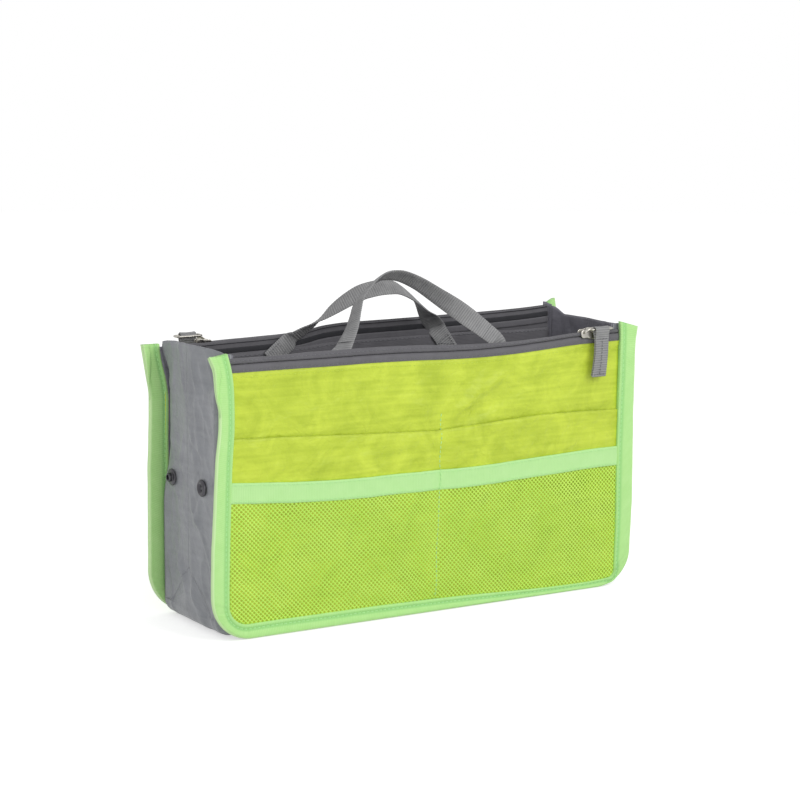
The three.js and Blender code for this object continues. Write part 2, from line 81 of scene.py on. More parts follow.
# The bag's main sizes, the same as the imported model's
HALF_LENGTH = 154.0
HEIGHT = 170.0
HALF_DEPTH = 42.5
PANEL_HALF = 140.0
PANEL_TOP = 158.9
BAND_BOTTOM = 78.0
GUSSET_HALF = 146.6
GUSSET_CORNER = 10.0
CORNER_X = 136.6
CORNER_Z = 11.2
WALL_CORNER = 28.0
FOLD_HALF = 33.9
STRAP_HALF = 33.5
HANDLE_HINGE = 166.0
WEBBING_WIDTH = 12.0
WEBBING_RIB = 1.9
POCKET_TAPE = 12.6
BINDING_FOOT = 8.0
SNAP_AWAY = 20.0
SNAP_HEIGHT = 89.0
HALVES = (("front", -1.0), ("rear", 1.0))


# Curves, noise and meshes


def together(*parts: Array | float) -> Array:
    """Coordinates as points, with each coordinate spread over the same grid."""
    return np.stack(np.broadcast_arrays(*parts), axis=-1)


def full_turn(count: int) -> Array:
    """Angles of some places spaced evenly round a circle."""
    return np.arange(count) / count * 2 * math.pi


def smooth(share: Array) -> Array:
    """A share eased between 0 and 1, and held at 0 and 1 outside."""
    held = np.clip(share, 0.0, 1.0)
    return held * held * (3.0 - 2.0 * held)


def through(*knots: tuple[float, float], soften: float = 5.0) -> Curve:
    """A soft curve through knots.

    Args:
        knots: Pairs of place and value, in rising order of place.
        soften: Width in mm over which the corners at the knots are rounded.

    Returns:
        A function of an array of places.
    """
    places, values = np.array(knots, float).T
    fine = np.arange(places[0] - 4 * soften, places[-1] + 4 * soften, soften / 6)
    rough = np.interp(fine, places, values)
    reach = np.arange(-18, 19) * soften / 6
    window = np.exp(-0.5 * (reach / (soften / 2)) ** 2)
    soft = np.convolve(np.pad(rough, 18, mode="edge"), window / window.sum(), mode="valid")
    return lambda at: np.interp(at, fine, soft)


def lattice_noise(u: Array, v: Array, seed: int) -> Array:
    """Smooth noise of unit grain.

    Args:
        u, v: Places, in grains.
        seed: Number that picks the pattern.

    Returns:
        Values between about -1 and 1.
    """
    angles = np.random.default_rng(seed).uniform(0, 2 * math.pi, (64, 64))
    i, j = np.floor(u).astype(int), np.floor(v).astype(int)
    du, dv = u - i, v - j

    def corner(a: int, b: int) -> Array:
        """The pull of one lattice corner."""
        angle = angles[(i + a) % 64, (j + b) % 64]
        return np.cos(angle) * (du - a) + np.sin(angle) * (dv - b)

    su, sv = (t * t * t * (t * (6 * t - 15) + 10) for t in (du, dv))
    low = corner(0, 0) * (1 - su) + corner(1, 0) * su
    high = corner(0, 1) * (1 - su) + corner(1, 1) * su
    return 1.4 * (low * (1 - sv) + high * sv)


@dataclass(frozen=True)
class Crumple:
    """Soft swells and narrow ridges that light nylon keeps where it has been folded."""

    seed: int
    swell: float
    swell_size: float
    ridge: float = 0.0
    ridge_size: float = 30.0
    lean: float = 0.0
    stretch: float = 1.0

    def at(self, u: Array, v: Array) -> Array:
        """Height of the cloth in mm at places u and v in mm."""
        angle = math.radians(self.lean)
        p = (u * math.cos(angle) + v * math.sin(angle)) / self.stretch
        q = v * math.cos(angle) - u * math.sin(angle)
        height = self.swell * lattice_noise(p / self.swell_size, q / self.swell_size, self.seed)
        if self.ridge:
            fold = lattice_noise(p / self.ridge_size, q / self.ridge_size, self.seed + 1)
            height = height + self.ridge * np.clip(1 - 4 * np.abs(fold), 0, 1) ** 2
        return height


@dataclass(frozen=True)
class Fold:
    """One fold in a sheet, as a soft ridge between two places that fades at its ends."""

    start: tuple[float, float]
    end: tuple[float, float]
    width: float
    height: float

    def at(self, u: Array, v: Array) -> Array:
        """Height of the fold in mm at places u and v in mm."""
        a, b = np.array(self.start), np.array(self.end)
        run = b - a
        length = float(np.hypot(*run))
        along = ((u - a[0]) * run[0] + (v - a[1]) * run[1]) / length**2
        aside = ((u - a[0]) * run[1] - (v - a[1]) * run[0]) / length
        ends = smooth(along / 0.25) * smooth((1 - along) / 0.35)
        return self.height * np.exp(-((aside / self.width) ** 2)) * ends


def heap(parts: Sequence["Fold | Crumple"], u: Array, v: Array) -> Array:
    """The sum of several folds and crumples at places u and v."""
    total = np.zeros_like(u)
    for part in parts:
        total = total + part.at(u, v)
    return total


@dataclass
class Shell:
    """Points, faces and cloth coordinates of a mesh, all in mm."""

    points: Array
    faces: list[Array]
    weave: Array

    def plus(self, *others: "Shell") -> "Shell":
        """This shell and others as one."""
        points, faces, weave = [self.points], list(self.faces), [self.weave]
        count = len(self.points)
        for other in others:
            points.append(other.points)
            weave.append(other.weave)
            faces += [part + count for part in other.faces]
            count += len(other.points)
        return Shell(np.concatenate(points), faces, np.concatenate(weave))

    def moved(self, place: Callable[[Array], Array]) -> "Shell":
        """This shell with its points taken through a function."""
        return Shell(place(self.points), self.faces, self.weave)

    def piece(self, name: str, finish: "Finish") -> Piece:
        """Makes the Blender object.

        Args:
            name: Name of the object.
            finish: Finish whose material it wears.

        Returns:
            The object, linked to the scene.
        """
        mesh = bpy.data.meshes.new(name)
        faces = [row for part in self.faces for row in part.tolist()]
        mesh.from_pydata((self.points * MM).tolist(), [], faces)
        weave = mesh.attributes.new("weave", "FLOAT_VECTOR", "POINT")
        weave.data.foreach_set("vector", self.weave.astype(np.float32).ravel())
        work = bmesh.new()
        work.from_mesh(mesh)
        bmesh.ops.recalc_face_normals(work, faces=work.faces)
        work.to_mesh(mesh)
        work.free()
        mesh.polygons.foreach_set("use_smooth", [True] * len(mesh.polygons))
        mesh.materials.append(finish.material())
        thing = bpy.data.objects.new(name, mesh)
        bpy.context.scene.collection.objects.link(thing)
        return thing


def grid_faces(rows: int, columns: int, start: int = 0, flip: bool = False) -> Array:
    """Quads of a grid of points.

    Args:
        rows, columns: Size of the grid.
        start: Number of its first point.
        flip: Whether the quads run the other way round.

    Returns:
        One row of four point numbers for each quad.
    """
    number = np.arange(rows * columns).reshape(rows, columns) + start
    corners = [number[:-1, :-1], number[:-1, 1:], number[1:, 1:], number[1:, :-1]]
    if flip:
        corners.reverse()
    return np.stack([corner.ravel() for corner in corners], axis=1)


def sheet(outer: Array, inner: Array, weave: Array) -> Shell:
    """A closed sheet between two faces.

    Args:
        outer, inner: Grids of points, rows by columns by 3.
        weave: Cloth coordinates of the grid, rows by columns by 2.

    Returns:
        The sheet with its rim closed.
    """
    rows, columns = outer.shape[:2]
    count = rows * columns
    number = np.arange(count).reshape(rows, columns)
    rim = np.concatenate([number[0, :], number[1:, -1], number[-1, -2::-1], number[-2:0:-1, 0]])
    ahead = np.roll(rim, -1)
    edge = np.stack([rim, rim + count, ahead + count, ahead], axis=1)
    flat = np.concatenate([weave.reshape(-1, 2)] * 2)
    points = np.concatenate([outer.reshape(-1, 3), inner.reshape(-1, 3)])
    faces = [grid_faces(rows, columns), grid_faces(rows, columns, count, flip=True), edge]
    return Shell(points, faces, np.column_stack([flat, np.zeros(len(flat))]))


def slab(x: Array, depth: Array | float, z: Array, thick: Array | float,
         weave: tuple[Array, Array]) -> Shell:
    """A closed sheet over a grid, with a face on each side of a depth.

    Args:
        x, depth, z: Places of its middle in a wall's frame.
        thick: Its thickness.
        weave: Its two cloth coordinates.

    Returns:
        The sheet.
    """
    faces = [together(x, depth + way * thick / 2, z)
             for way in (-1, 1)]
    return sheet(*faces, together(*weave))


def loft(sections: Array, girth: Array, run: Array, ring: bool = False) -> Shell:
    """A closed tube through sections.

    Args:
        sections: Stations by points of a section by 3.
        girth: Cloth coordinate round a section, one for each of its points.
        run: Cloth coordinate along the tube, one for each station.
        ring: Whether the tube closes on itself.

    Returns:
        The tube, with flat ends unless it closes on itself.
    """
    stations, sides = sections.shape[:2]
    number = np.arange(stations * sides).reshape(stations, sides)
    first, second = (number, np.roll(number, -1, axis=0)) if ring else (number[:-1], number[1:])
    quads = [first, np.roll(first, -1, axis=1), np.roll(second, -1, axis=1), second]
    faces = [np.stack([corner.ravel() for corner in quads], axis=1)]
    if not ring:
        faces += [number[:1, ::-1], number[-1:, :]]
    weave = np.zeros((stations, sides, 3))
    weave[..., 0] = girth[None, :]
    weave[..., 1] = run[:, None]
    return Shell(sections.reshape(-1, 3), faces, weave.reshape(-1, 3))


def run_length(path: Array) -> Array:
    """Distance along a path at each of its points."""
    steps = np.linalg.norm(np.diff(path, axis=0), axis=1)
    return np.concatenate([[0.0], np.cumsum(steps)])


def even_path(path: Array, step: float) -> Array:
    """A path taken again at even steps, after its corners are rounded.

    Args:
        path: Points, count by dimensions.
        step: Step in mm.

    Returns:
        Points along a Catmull-Rom curve through the path.
    """
    ends = np.concatenate([[2 * path[0] - path[1]], path, [2 * path[-1] - path[-2]]])
    t = np.linspace(0, 1, 12, endpoint=False)[:, None]
    fine = []
    for a, b, c, d in zip(ends[:-3], ends[1:-2], ends[2:-1], ends[3:]):
        fine.append(0.5 * (2 * b + (c - a) * t + (2 * a - 5 * b + 4 * c - d) * t**2
                           + (3 * b - a - 3 * c + d) * t**3))
    dense = np.concatenate(fine + [path[-1:]])
    length = run_length(dense)
    places = np.linspace(0, length[-1], max(3, int(round(length[-1] / step)) + 1))
    return np.stack([np.interp(places, length, dense[:, k]) for k in range(dense.shape[1])], axis=1)


def unit(vectors: Array) -> Array:
    """Vectors at length 1."""
    return vectors / np.linalg.norm(vectors, axis=-1, keepdims=True)


def directions(path: Array) -> Array:
    """Direction of a path at each of its points."""
    return unit(np.gradient(path, axis=0))


def wire(path: Array, radius: float, sides: int = 8, ring: bool = False) -> Shell:
    """A round wire along a path.

    Args:
        path: Points in mm.
        radius: Radius of the wire.
        sides: Corners of its section.
        ring: Whether the path closes on itself.

    Returns:
        The wire as a closed shell.
    """
    ahead = unit(np.roll(path, -1, axis=0) - np.roll(path, 1, axis=0)) if ring else directions(path)
    side = unit(np.cross(ahead, [0.31, 0.17, 0.93]))
    other = np.cross(ahead, side)
    angle = full_turn(sides)
    offset = (np.cos(angle)[None, :, None] * side[:, None]
              + np.sin(angle)[None, :, None] * other[:, None])
    return loft(path[:, None] + radius * offset, angle * radius, run_length(path), ring)


def facing(way: float, count: int) -> Array:
    """The direction across a wall, once for each of some points."""
    return np.tile([0.0, way, 0.0], (count, 1))


def stitches(path: Array, out: Array, pitch: float = 3.2, length: float = 2.3,
             thickness: float = 0.5) -> Shell:
    """A row of sewing stitches that lie on a surface.

    Args:
        path: Points of the seam in mm.
        out: Direction out of the surface at each point.
        pitch, length, thickness: Sizes of the stitches in mm.

    Returns:
        One shell that holds every stitch.
    """
    run = run_length(path)
    places = np.arange(pitch / 2, run[-1], pitch)
    centre = np.stack([np.interp(places, run, path[:, k]) for k in range(3)], axis=1)
    ahead = directions(path)
    ahead = unit(np.stack([np.interp(places, run, ahead[:, k]) for k in range(3)], axis=1))
    up = unit(np.stack([np.interp(places, run, out[:, k]) for k in range(3)], axis=1))
    side = unit(np.cross(ahead, up))
    angle = full_turn(6)
    template = [[-length / 2, 0, 0]]
    for along, share in ((-0.36, 0.75), (0.0, 1.0), (0.36, 0.75)):
        for a in angle:
            template.append([along * length, share * thickness / 2 * math.cos(a),
                             share * thickness / 2 * math.sin(a)])
    template.append([length / 2, 0, 0])
    shape = np.array(template)
    points = (centre[:, None] + shape[None, :, :1] * ahead[:, None]
              + shape[None, :, 1:2] * side[:, None] + shape[None, :, 2:] * up[:, None])
    body, tips = [], []
    for k in range(6):
        ahead_k = (k + 1) % 6
        body += [[1 + ring * 6 + k, 1 + ring * 6 + ahead_k, 7 + ring * 6 + ahead_k, 7 + ring * 6 + k]
                 for ring in (0, 1)]
        tips += [[0, 1 + ahead_k, 1 + k], [19, 13 + k, 13 + ahead_k]]
    starts = (np.arange(len(places)) * len(shape))[:, None, None]
    faces = [(np.array(part)[None] + starts).reshape(-1, len(part[0])) for part in (body, tips)]
    weave = np.tile(shape[:, [1, 0, 2]], (len(places), 1))
    return Shell(points.reshape(-1, 3), faces, weave)


# Finishes


def linear(hex_colour: str) -> tuple[float, float, float, float]:
    """An sRGB hex colour as linear red, green, blue and 1."""
    parts = [int(hex_colour[k:k + 2], 16) / 255 for k in (1, 3, 5)]
    red, green, blue = (c / 12.92 if c <= 0.04045 else ((c + 0.055) / 1.055) ** 2.4 for c in parts)
    return red, green, blue, 1.0


def add_node(tree: Tree, kind: str, settings: dict | None = None,
             inputs: dict | None = None) -> bpy.types.Node:
    """Adds a node.

    Args:
        tree: Tree that it goes into.
        kind: Blender's name of the node, without the ShaderNode that it starts with.
        settings: Values of the node's own properties.
        inputs: For each input, by name or number, a constant or the output that feeds it.

    Returns:
        The node.
    """
    node = tree.nodes.new("ShaderNode" + kind)
    for key, value in (settings or {}).items():
        setattr(node, key, value)
    for key, value in (inputs or {}).items():
        if isinstance(value, Socket):
            tree.links.new(value, node.inputs[key])
        else:
            node.inputs[key].default_value = value
    return node


# Blender's wave texture turns once in this length at scale 1, and its colour mix has its sockets
# at these numbers
WAVE_TURN = 2 * math.pi / 20
MIX_SHARE, MIX_A, MIX_B, MIX_OUT = 0, 6, 7, 2


def seen_as_background(tree: Tree) -> Socket:
    """An output that is 1 for the rays that show the background, and 0 for light on the bag."""
    path = add_node(tree, "LightPath")
    direct = add_node(tree, "Math", {"operation": "ADD"}, {
        0: path.outputs["Is Camera Ray"], 1: path.outputs["Is Glossy Ray"]})
    return add_node(tree, "Math", {"operation": "ADD", "use_clamp": True}, {
        0: direct.outputs[0], 1: path.outputs["Is Transmission Ray"]}).outputs[0]


@dataclass(frozen=True)
class Finish:
    """A surface: its name, the record's slot that it fills, and its material."""

    name: str
    slot: str

    def material(self) -> bpy.types.Material:
        """The material, made on its first use."""
        made = bpy.data.materials.get(self.name)
        if made:
            return made
        made = bpy.data.materials.new(self.name)
        made.use_nodes = True
        tree = made.node_tree
        tree.nodes.clear()
        shader = self.shader(tree)
        add_node(tree, "OutputMaterial", inputs={"Surface": shader})
        return made

    def shader(self, tree: Tree) -> Socket:
        """The output that colours the surface."""
        raise NotImplementedError

    @staticmethod
    def coat(tree: Tree, colour: bpy.types.Node,
             reliefs: Sequence[tuple[Socket, float, float]],
             sockets: dict) -> Socket:
        """The shader over one or two layers of relief.

        Args:
            tree: Tree that it goes into.
            colour: The mix that gives the colour.
            reliefs: Each layer's height, strength and depth in mm, the lowest first.
            sockets: The shader's other inputs.

        Returns:
            The shader's output.
        """
        under = {}
        for height, strength, depth in reliefs:
            bump = add_node(tree, "Bump", inputs={
                "Height": height, "Strength": strength, "Distance": depth * MM, **under})
            under = {"Normal": bump.outputs["Normal"]}
        return add_node(tree, "BsdfPrincipled", inputs={
            "Base Color": colour.outputs[MIX_OUT], **sockets, **under}).outputs["BSDF"]


@dataclass(frozen=True)
class TaffetaNylon(Finish):
    """Nylon taffeta: plain weave of bright filament yarn, pressed smooth between hot rollers.

    It gives the eye a soft silky sheen along each crease, fine streaks where the yarn varies, and
    small sharp crumples. Broad patches of its darker second colour are painted shade for loose
    folds.
    The real threads are 0.15 mm apart, too fine to show, and are drawn at thread mm.
    """

    colour: str = "#808080"
    streak_and_fold_shade_colour: str = "#707070"
    roughness: float = 0.5
    sheen: float = 0.15
    thread: float = 0.9
    crumple: float = 0.10

    def shader(self, tree: Tree) -> Socket:
        """Two thread waves, yarn streaks, painted fold shade in broad patches and crumples over the
        dyed colour.
        """
        cloth = add_node(tree, "Attribute", {"attribute_name": "weave"}).outputs["Vector"]
        warp, weft = (add_node(tree, "TexWave", {"bands_direction": axis},
                               {"Vector": cloth, "Scale": WAVE_TURN / self.thread,
                                "Distortion": 0.4, "Detail": 1.0}).outputs["Fac"]
                      for axis in ("X", "Y"))
        threads = add_node(tree, "Math", {"operation": "MULTIPLY"}, {0: warp, 1: weft})
        streaks = add_node(tree, "TexNoise", inputs={
            "Vector": add_node(tree, "Mapping", inputs={
                "Vector": cloth, "Scale": (0.02, 0.35, 1.0)}).outputs["Vector"],
            "Scale": 1.0, "Detail": 3.0})
        # Broad patches mix in the darker colour as painted shade for loose folds; the narrow streaks
        # of it are yarn that varies.
        patches = add_node(tree, "TexNoise", inputs={
            "Vector": cloth, "Scale": 1 / 26, "Detail": 4.0, "Roughness": 0.6, "Distortion": 1.2})
        share = add_node(tree, "Math", {"operation": "MULTIPLY_ADD"}, {
            0: streaks.outputs["Fac"], 1: 0.35,
            2: add_node(tree, "Math", {"operation": "MULTIPLY"}, {
                0: patches.outputs["Fac"], 1: 0.65}).outputs[0]})
        colour = add_node(tree, "Mix", {"data_type": "RGBA"}, {
            MIX_SHARE: add_node(tree, "MapRange", inputs={
                "Value": share.outputs[0], "From Min": 0.36, "From Max": 0.62}).outputs[0],
            MIX_A: linear(self.streak_and_fold_shade_colour), MIX_B: linear(self.colour)})
        crumple = add_node(tree, "TexNoise", inputs={
            "Vector": cloth, "Scale": 1 / 7, "Detail": 3.0, "Roughness": 0.55, "Distortion": 0.8})
        reliefs = ((crumple.outputs["Fac"], 1.0, self.crumple * 5), (threads.outputs[0], 0.5, 0.06))
        return self.coat(tree, colour, reliefs, {
            "Roughness": self.roughness, "IOR": 1.53, "Specular IOR Level": 0.35,
            "Sheen Weight": self.sheen, "Sheen Roughness": 0.4})


@dataclass(frozen=True)
class KnittedNet(Finish):
    """Warp-knitted polyester net: fine bright cords that cross in diamonds.

    The cords are geometry. Each is twisted from filaments, which gives it a fine slanting grain.
    """

    colour: str = "#b4e04a"
    shade_colour: str = "#9ccb34"

    def shader(self, tree: Tree) -> Socket:
        """Filament grain over the dyed colour."""
        cloth = add_node(tree, "Attribute", {"attribute_name": "weave"}).outputs["Vector"]
        grain = add_node(tree, "TexWave", {"bands_direction": "DIAGONAL"}, {
            "Vector": cloth, "Scale": WAVE_TURN / 0.7, "Distortion": 1.0, "Detail": 1.0})
        patches = add_node(tree, "TexNoise", inputs={
            "Vector": cloth, "Scale": 1 / 30, "Detail": 3.0})
        colour = add_node(tree, "Mix", {"data_type": "RGBA"}, {
            MIX_SHARE: add_node(tree, "MapRange", inputs={
                "Value": patches.outputs["Fac"], "From Min": 0.35, "From Max": 0.65}).outputs[0],
            MIX_A: linear(self.shade_colour), MIX_B: linear(self.colour)})
        return self.coat(tree, colour, ((grain.outputs["Fac"], 0.6, 0.1),), {
            "Roughness": 0.6, "IOR": 1.5, "Specular IOR Level": 0.3, "Sheen Weight": 0.1})


@dataclass(frozen=True)
class WovenTape(Finish):
    """Woven polyester tape, dyed in the piece, with cross ribs from its thick weft.

    It gives the eye a matte face with fine even ribs across its length, painted shade in the
    grooves between the ribs and a painted highlight along its folds. The real ribs of thin tape are
    0.4 mm apart and are drawn at rib mm so that they show.
    """

    colour: str = "#aee89a"
    dye_and_groove_shade_colour: str = "#9ad880"
    fold_highlight_colour: str = "#d2f4b4"
    rib: float = 1.1
    rib_depth: float = 0.08
    groove_shade_share: float = 0.35
    fold_highlight_from: float = 1e4
    seam_at: float = -1e4
    seam_shade_colour: str = "#93d07c"

    def shader(self, tree: Tree) -> Socket:
        """Ribs across the tape with painted shade in their grooves, uneven dye, a painted highlight
        past the fold and painted shade along the seam.
        """
        cloth = add_node(tree, "Attribute", {"attribute_name": "weave"}).outputs["Vector"]
        across = add_node(tree, "SeparateXYZ", inputs={"Vector": cloth}).outputs["X"]
        ribs = add_node(tree, "TexWave", {"bands_direction": "Y"}, {
            "Vector": cloth, "Scale": WAVE_TURN / self.rib, "Distortion": 0.5, "Detail": 1.0,
            "Detail Scale": 2.0})
        yarns = add_node(tree, "TexWave", {"bands_direction": "X"}, {
            "Vector": cloth, "Scale": WAVE_TURN / 0.8, "Distortion": 0.6, "Detail": 1.0})
        dye = add_node(tree, "TexNoise", inputs={
            "Vector": cloth, "Scale": 1 / 9, "Detail": 3.0, "Roughness": 0.6})
        # The rib wave darkens the grooves between ribs as painted shade, and the dye noise mixes in
        # the same darker colour as uneven dye.
        share = add_node(tree, "Math", {"operation": "MULTIPLY_ADD", "use_clamp": True}, {
            0: ribs.outputs["Fac"], 1: self.groove_shade_share,
            2: add_node(tree, "MapRange", inputs={
                "Value": dye.outputs["Fac"], "From Min": 0.3, "From Max": 0.7,
                "To Min": 0.1, "To Max": 0.9 - self.groove_shade_share}).outputs[0]})
        body = add_node(tree, "Mix", {"data_type": "RGBA"}, {
            MIX_SHARE: share.outputs[0], MIX_A: linear(self.dye_and_groove_shade_colour),
            MIX_B: linear(self.colour)})
        # Past the fold the tape takes a paler colour: a painted highlight along its rolled edge.
        folded = add_node(tree, "MapRange", inputs={
            "Value": across, "From Min": self.fold_highlight_from - 0.8, "From Max": self.fold_highlight_from + 0.8})
        # A darker line along the seam is painted shade.
        off_seam = add_node(tree, "Math", {"operation": "ABSOLUTE"}, {
            0: add_node(tree, "Math", {"operation": "SUBTRACT"}, {
                0: across, 1: self.seam_at}).outputs[0]})
        seam = add_node(tree, "MapRange", inputs={
            "Value": off_seam.outputs[0], "From Min": 0.5, "From Max": 1.9, "To Min": 0.85,
            "To Max": 0.0})
        sewn = add_node(tree, "Mix", {"data_type": "RGBA"}, {
            MIX_SHARE: seam.outputs[0], MIX_A: body.outputs[MIX_OUT],
            MIX_B: linear(self.seam_shade_colour)})
        colour = add_node(tree, "Mix", {"data_type": "RGBA"}, {
            MIX_SHARE: folded.outputs[0], MIX_A: sewn.outputs[MIX_OUT],
            MIX_B: linear(self.fold_highlight_colour)})
        reliefs = ((ribs.outputs["Fac"], 0.8, self.rib_depth), (yarns.outputs["Fac"], 0.4, 0.05))
        return self.coat(tree, colour, reliefs, {
            "Roughness": 0.75, "IOR": 1.55, "Specular IOR Level": 0.25, "Sheen Weight": 0.1,
            "Sheen Roughness": 0.5})


@dataclass(frozen=True)
class SpunThread(Finish):
    """Twisted polyester sewing thread: a slight gloss and a slanting twist, drawn at 0.6 mm."""

    colour: str = "#b8ecaa"
    twist_colour: str = "#93cf84"

    def shader(self, tree: Tree) -> Socket:
        """A twist of two tones round the thread."""
        cloth = add_node(tree, "Attribute", {"attribute_name": "weave"}).outputs["Vector"]
        twist = add_node(tree, "TexWave", {"bands_direction": "DIAGONAL"}, {
            "Vector": cloth, "Scale": WAVE_TURN / 0.6, "Distortion": 0.2})
        colour = add_node(tree, "Mix", {"data_type": "RGBA"}, {
            MIX_SHARE: twist.outputs["Fac"], MIX_A: linear(self.twist_colour),
            MIX_B: linear(self.colour)})
        return self.coat(tree, colour, ((twist.outputs["Fac"], 0.5, 0.05),), {
            "Roughness": 0.5, "IOR": 1.55})


@dataclass(frozen=True)
class PlatedMetal(Finish):
    """Die-cast zinc or stamped brass with a plated coat, tumbled smooth.

    It gives the eye sharp bright and dark reflections that fine handling scratches soften.
    """

    colour: str = "#b9b6b0"
    dull_colour: str = "#9a978f"
    roughness: float = 0.22
    scratched: float = 0.2

    def shader(self, tree: Tree) -> Socket:
        """Uneven plating and fine scratches over a metal shader."""
        place = add_node(tree, "TexCoord").outputs["Object"]
        clouds = add_node(tree, "TexNoise", inputs={
            "Vector": place, "Scale": 1 / (3 * MM), "Detail": 3.0})
        colour = add_node(tree, "Mix", {"data_type": "RGBA"}, {
            MIX_SHARE: clouds.outputs["Fac"], MIX_A: linear(self.colour),
            MIX_B: linear(self.dull_colour)})
        gloss = add_node(tree, "MapRange", inputs={
            "Value": clouds.outputs["Fac"], "From Min": 0.3, "From Max": 0.7,
            "To Min": self.roughness, "To Max": self.roughness + self.scratched})
        scratches = add_node(tree, "TexNoise", inputs={
            "Vector": add_node(tree, "Mapping", inputs={
                "Vector": place, "Scale": (300.0, 2600.0, 2600.0)}).outputs["Vector"],
            "Scale": 1.0, "Detail": 2.0})
        return self.coat(tree, colour, ((scratches.outputs["Fac"], 0.25, 0.03),), {
            "Metallic": 1.0, "Roughness": gloss.outputs[0]})


@dataclass(frozen=True)
class StudioPaper(Finish):
    """White paper that the camera and shiny surfaces see as white, with the shadow kept."""

    def shader(self, tree: Tree) -> Socket:
        """Matte paper with a lift of its own for the rays that see it as background."""
        matte = add_node(tree, "BsdfDiffuse", inputs={"Color": linear("#e4e4e4")})
        lift = add_node(tree, "Emission", inputs={
            "Color": linear("#ffffff"),
            "Strength": add_node(tree, "Math", {"operation": "MULTIPLY"}, {
                0: seen_as_background(tree), 1: 0.58}).outputs[0]})
        return add_node(tree, "AddShader", inputs={
            0: matte.outputs[0], 1: lift.outputs[0]}).outputs[0]


# Each nylon's second colour is the darker tone of its yarn streaks and of its painted fold shade.
LIME = TaffetaNylon("lime taffeta nylon", "lime_nylon", "#cadc46", "#adc133", 0.44, 0.12,
                    crumple=0.2)
GREY = TaffetaNylon("grey taffeta nylon", "grey_nylon", "#94969b", "#83858a", 0.42, 0.2,
                    crumple=0.16)
LINING = TaffetaNylon("dark lining nylon", "grey_lining", "#7a7981", "#67666e", 0.5, 0.1)
NET = KnittedNet("lime knitted net", "lime_net", "#d6fb70", "#cdf564")
# The binding takes a painted highlight along its outer fold and painted shade along its seam.
BINDING = WovenTape("mint binding tape", "mint_binding", "#bfeb9e", "#aadf88", fold_highlight_from=11.9,
                    seam_at=3.0, seam_shade_colour="#9bd684")
HEM_TAPE = WovenTape("mint pocket tape", "mint_binding", "#bfeaa3", "#b2e396")
ZIP_TAPE = WovenTape("grey zip tape", "zip_tape", "#6f6e72", "#5e5d61", rib=0.9)
LINING_TAPE = WovenTape("dark lining tape", "zip_tape", "#6a696d", "#5b5a5e", rib=0.9)
# The webbing's strong dark ribs are painted shade in the grooves between them.
WEBBING = WovenTape("grey grosgrain webbing", "grey_webbing", "#a2a2a2", "#727274", rib=1.5,
                    rib_depth=0.2, groove_shade_share=0.5)
# Near-black tape that is painted shade: it stands for the shadow along the zip's inner side.
ZIP_SHADE_TAPE = WovenTape("black painted-shade zip strip", "zip_tape", "#37373b", "#2b2b2f", rib=0.9)
COIL = SpunThread("black-grey nylon coil", "zip_tape", "#4c4b50", "#3a393e")
MINT_THREAD = SpunThread("mint sewing thread", "mint_binding", "#c4f0ae", "#a9e096")
LIME_THREAD = SpunThread("lime sewing thread", "lime_nylon", "#c8dc4a", "#b4ca3c")
GREY_THREAD = SpunThread("grey sewing thread", "grey_webbing", "#727277", "#5c5c60")
NICKEL = PlatedMetal("nickel plate", "nickel")
GUNMETAL = PlatedMetal("gunmetal plate", "gunmetal", "#57565a", "#3f3e41", 0.3, 0.15)
PAPER = StudioPaper("white studio paper", "none")

# The back wall's own left is the bag's right
STOP_SWAP = {"left": "right", "right": "left"}


# Walls


class WallSide(Enum):
    """The two walls."""

    FRONT = "front"
    BACK = "back"

    @property
    def body(self) -> str:
        """Body that the wall's cloth rides on."""
        return "front_wall" if self is WallSide.FRONT else "root"

    @property
    def sign(self) -> float:
        """Side of the bag along Y."""
        return -1.0 if self is WallSide.FRONT else 1.0

    def world(self, local: Array) -> Array:
        """Points of the wall's own frame in the bag's frame."""
        placed = np.array(local, float)
        placed[..., 0] *= -self.sign
        placed[..., 1] = self.sign * (HALF_DEPTH - placed[..., 1])
        return placed


def recessed(z: Array, low: Array | float = 70.0, over: Array | float = 40.0) -> Array:
    """Share by which the gusset's seam draws in from the wall's edge, above a height."""
    return smooth((z - low) / over)


def flared(z: Array) -> Array:
    """Share by which a seam that draws in comes out again towards the wall's top."""
    return smooth((z - 148) / 20)


@dataclass(frozen=True)
class SideEdge:
    """How the binding hangs along one side of a wall, at each height."""

    outer_in: Curve
    inner_in: Curve
    corner_radius: float
    top_tilt: float = 0.0
    top_rise: float = 0.0
    ear: float = 0.0
    recess: float = 0.0
    recess_from: float = 70.0
    recess_over: float = 40.0
    flare: float = 0.0


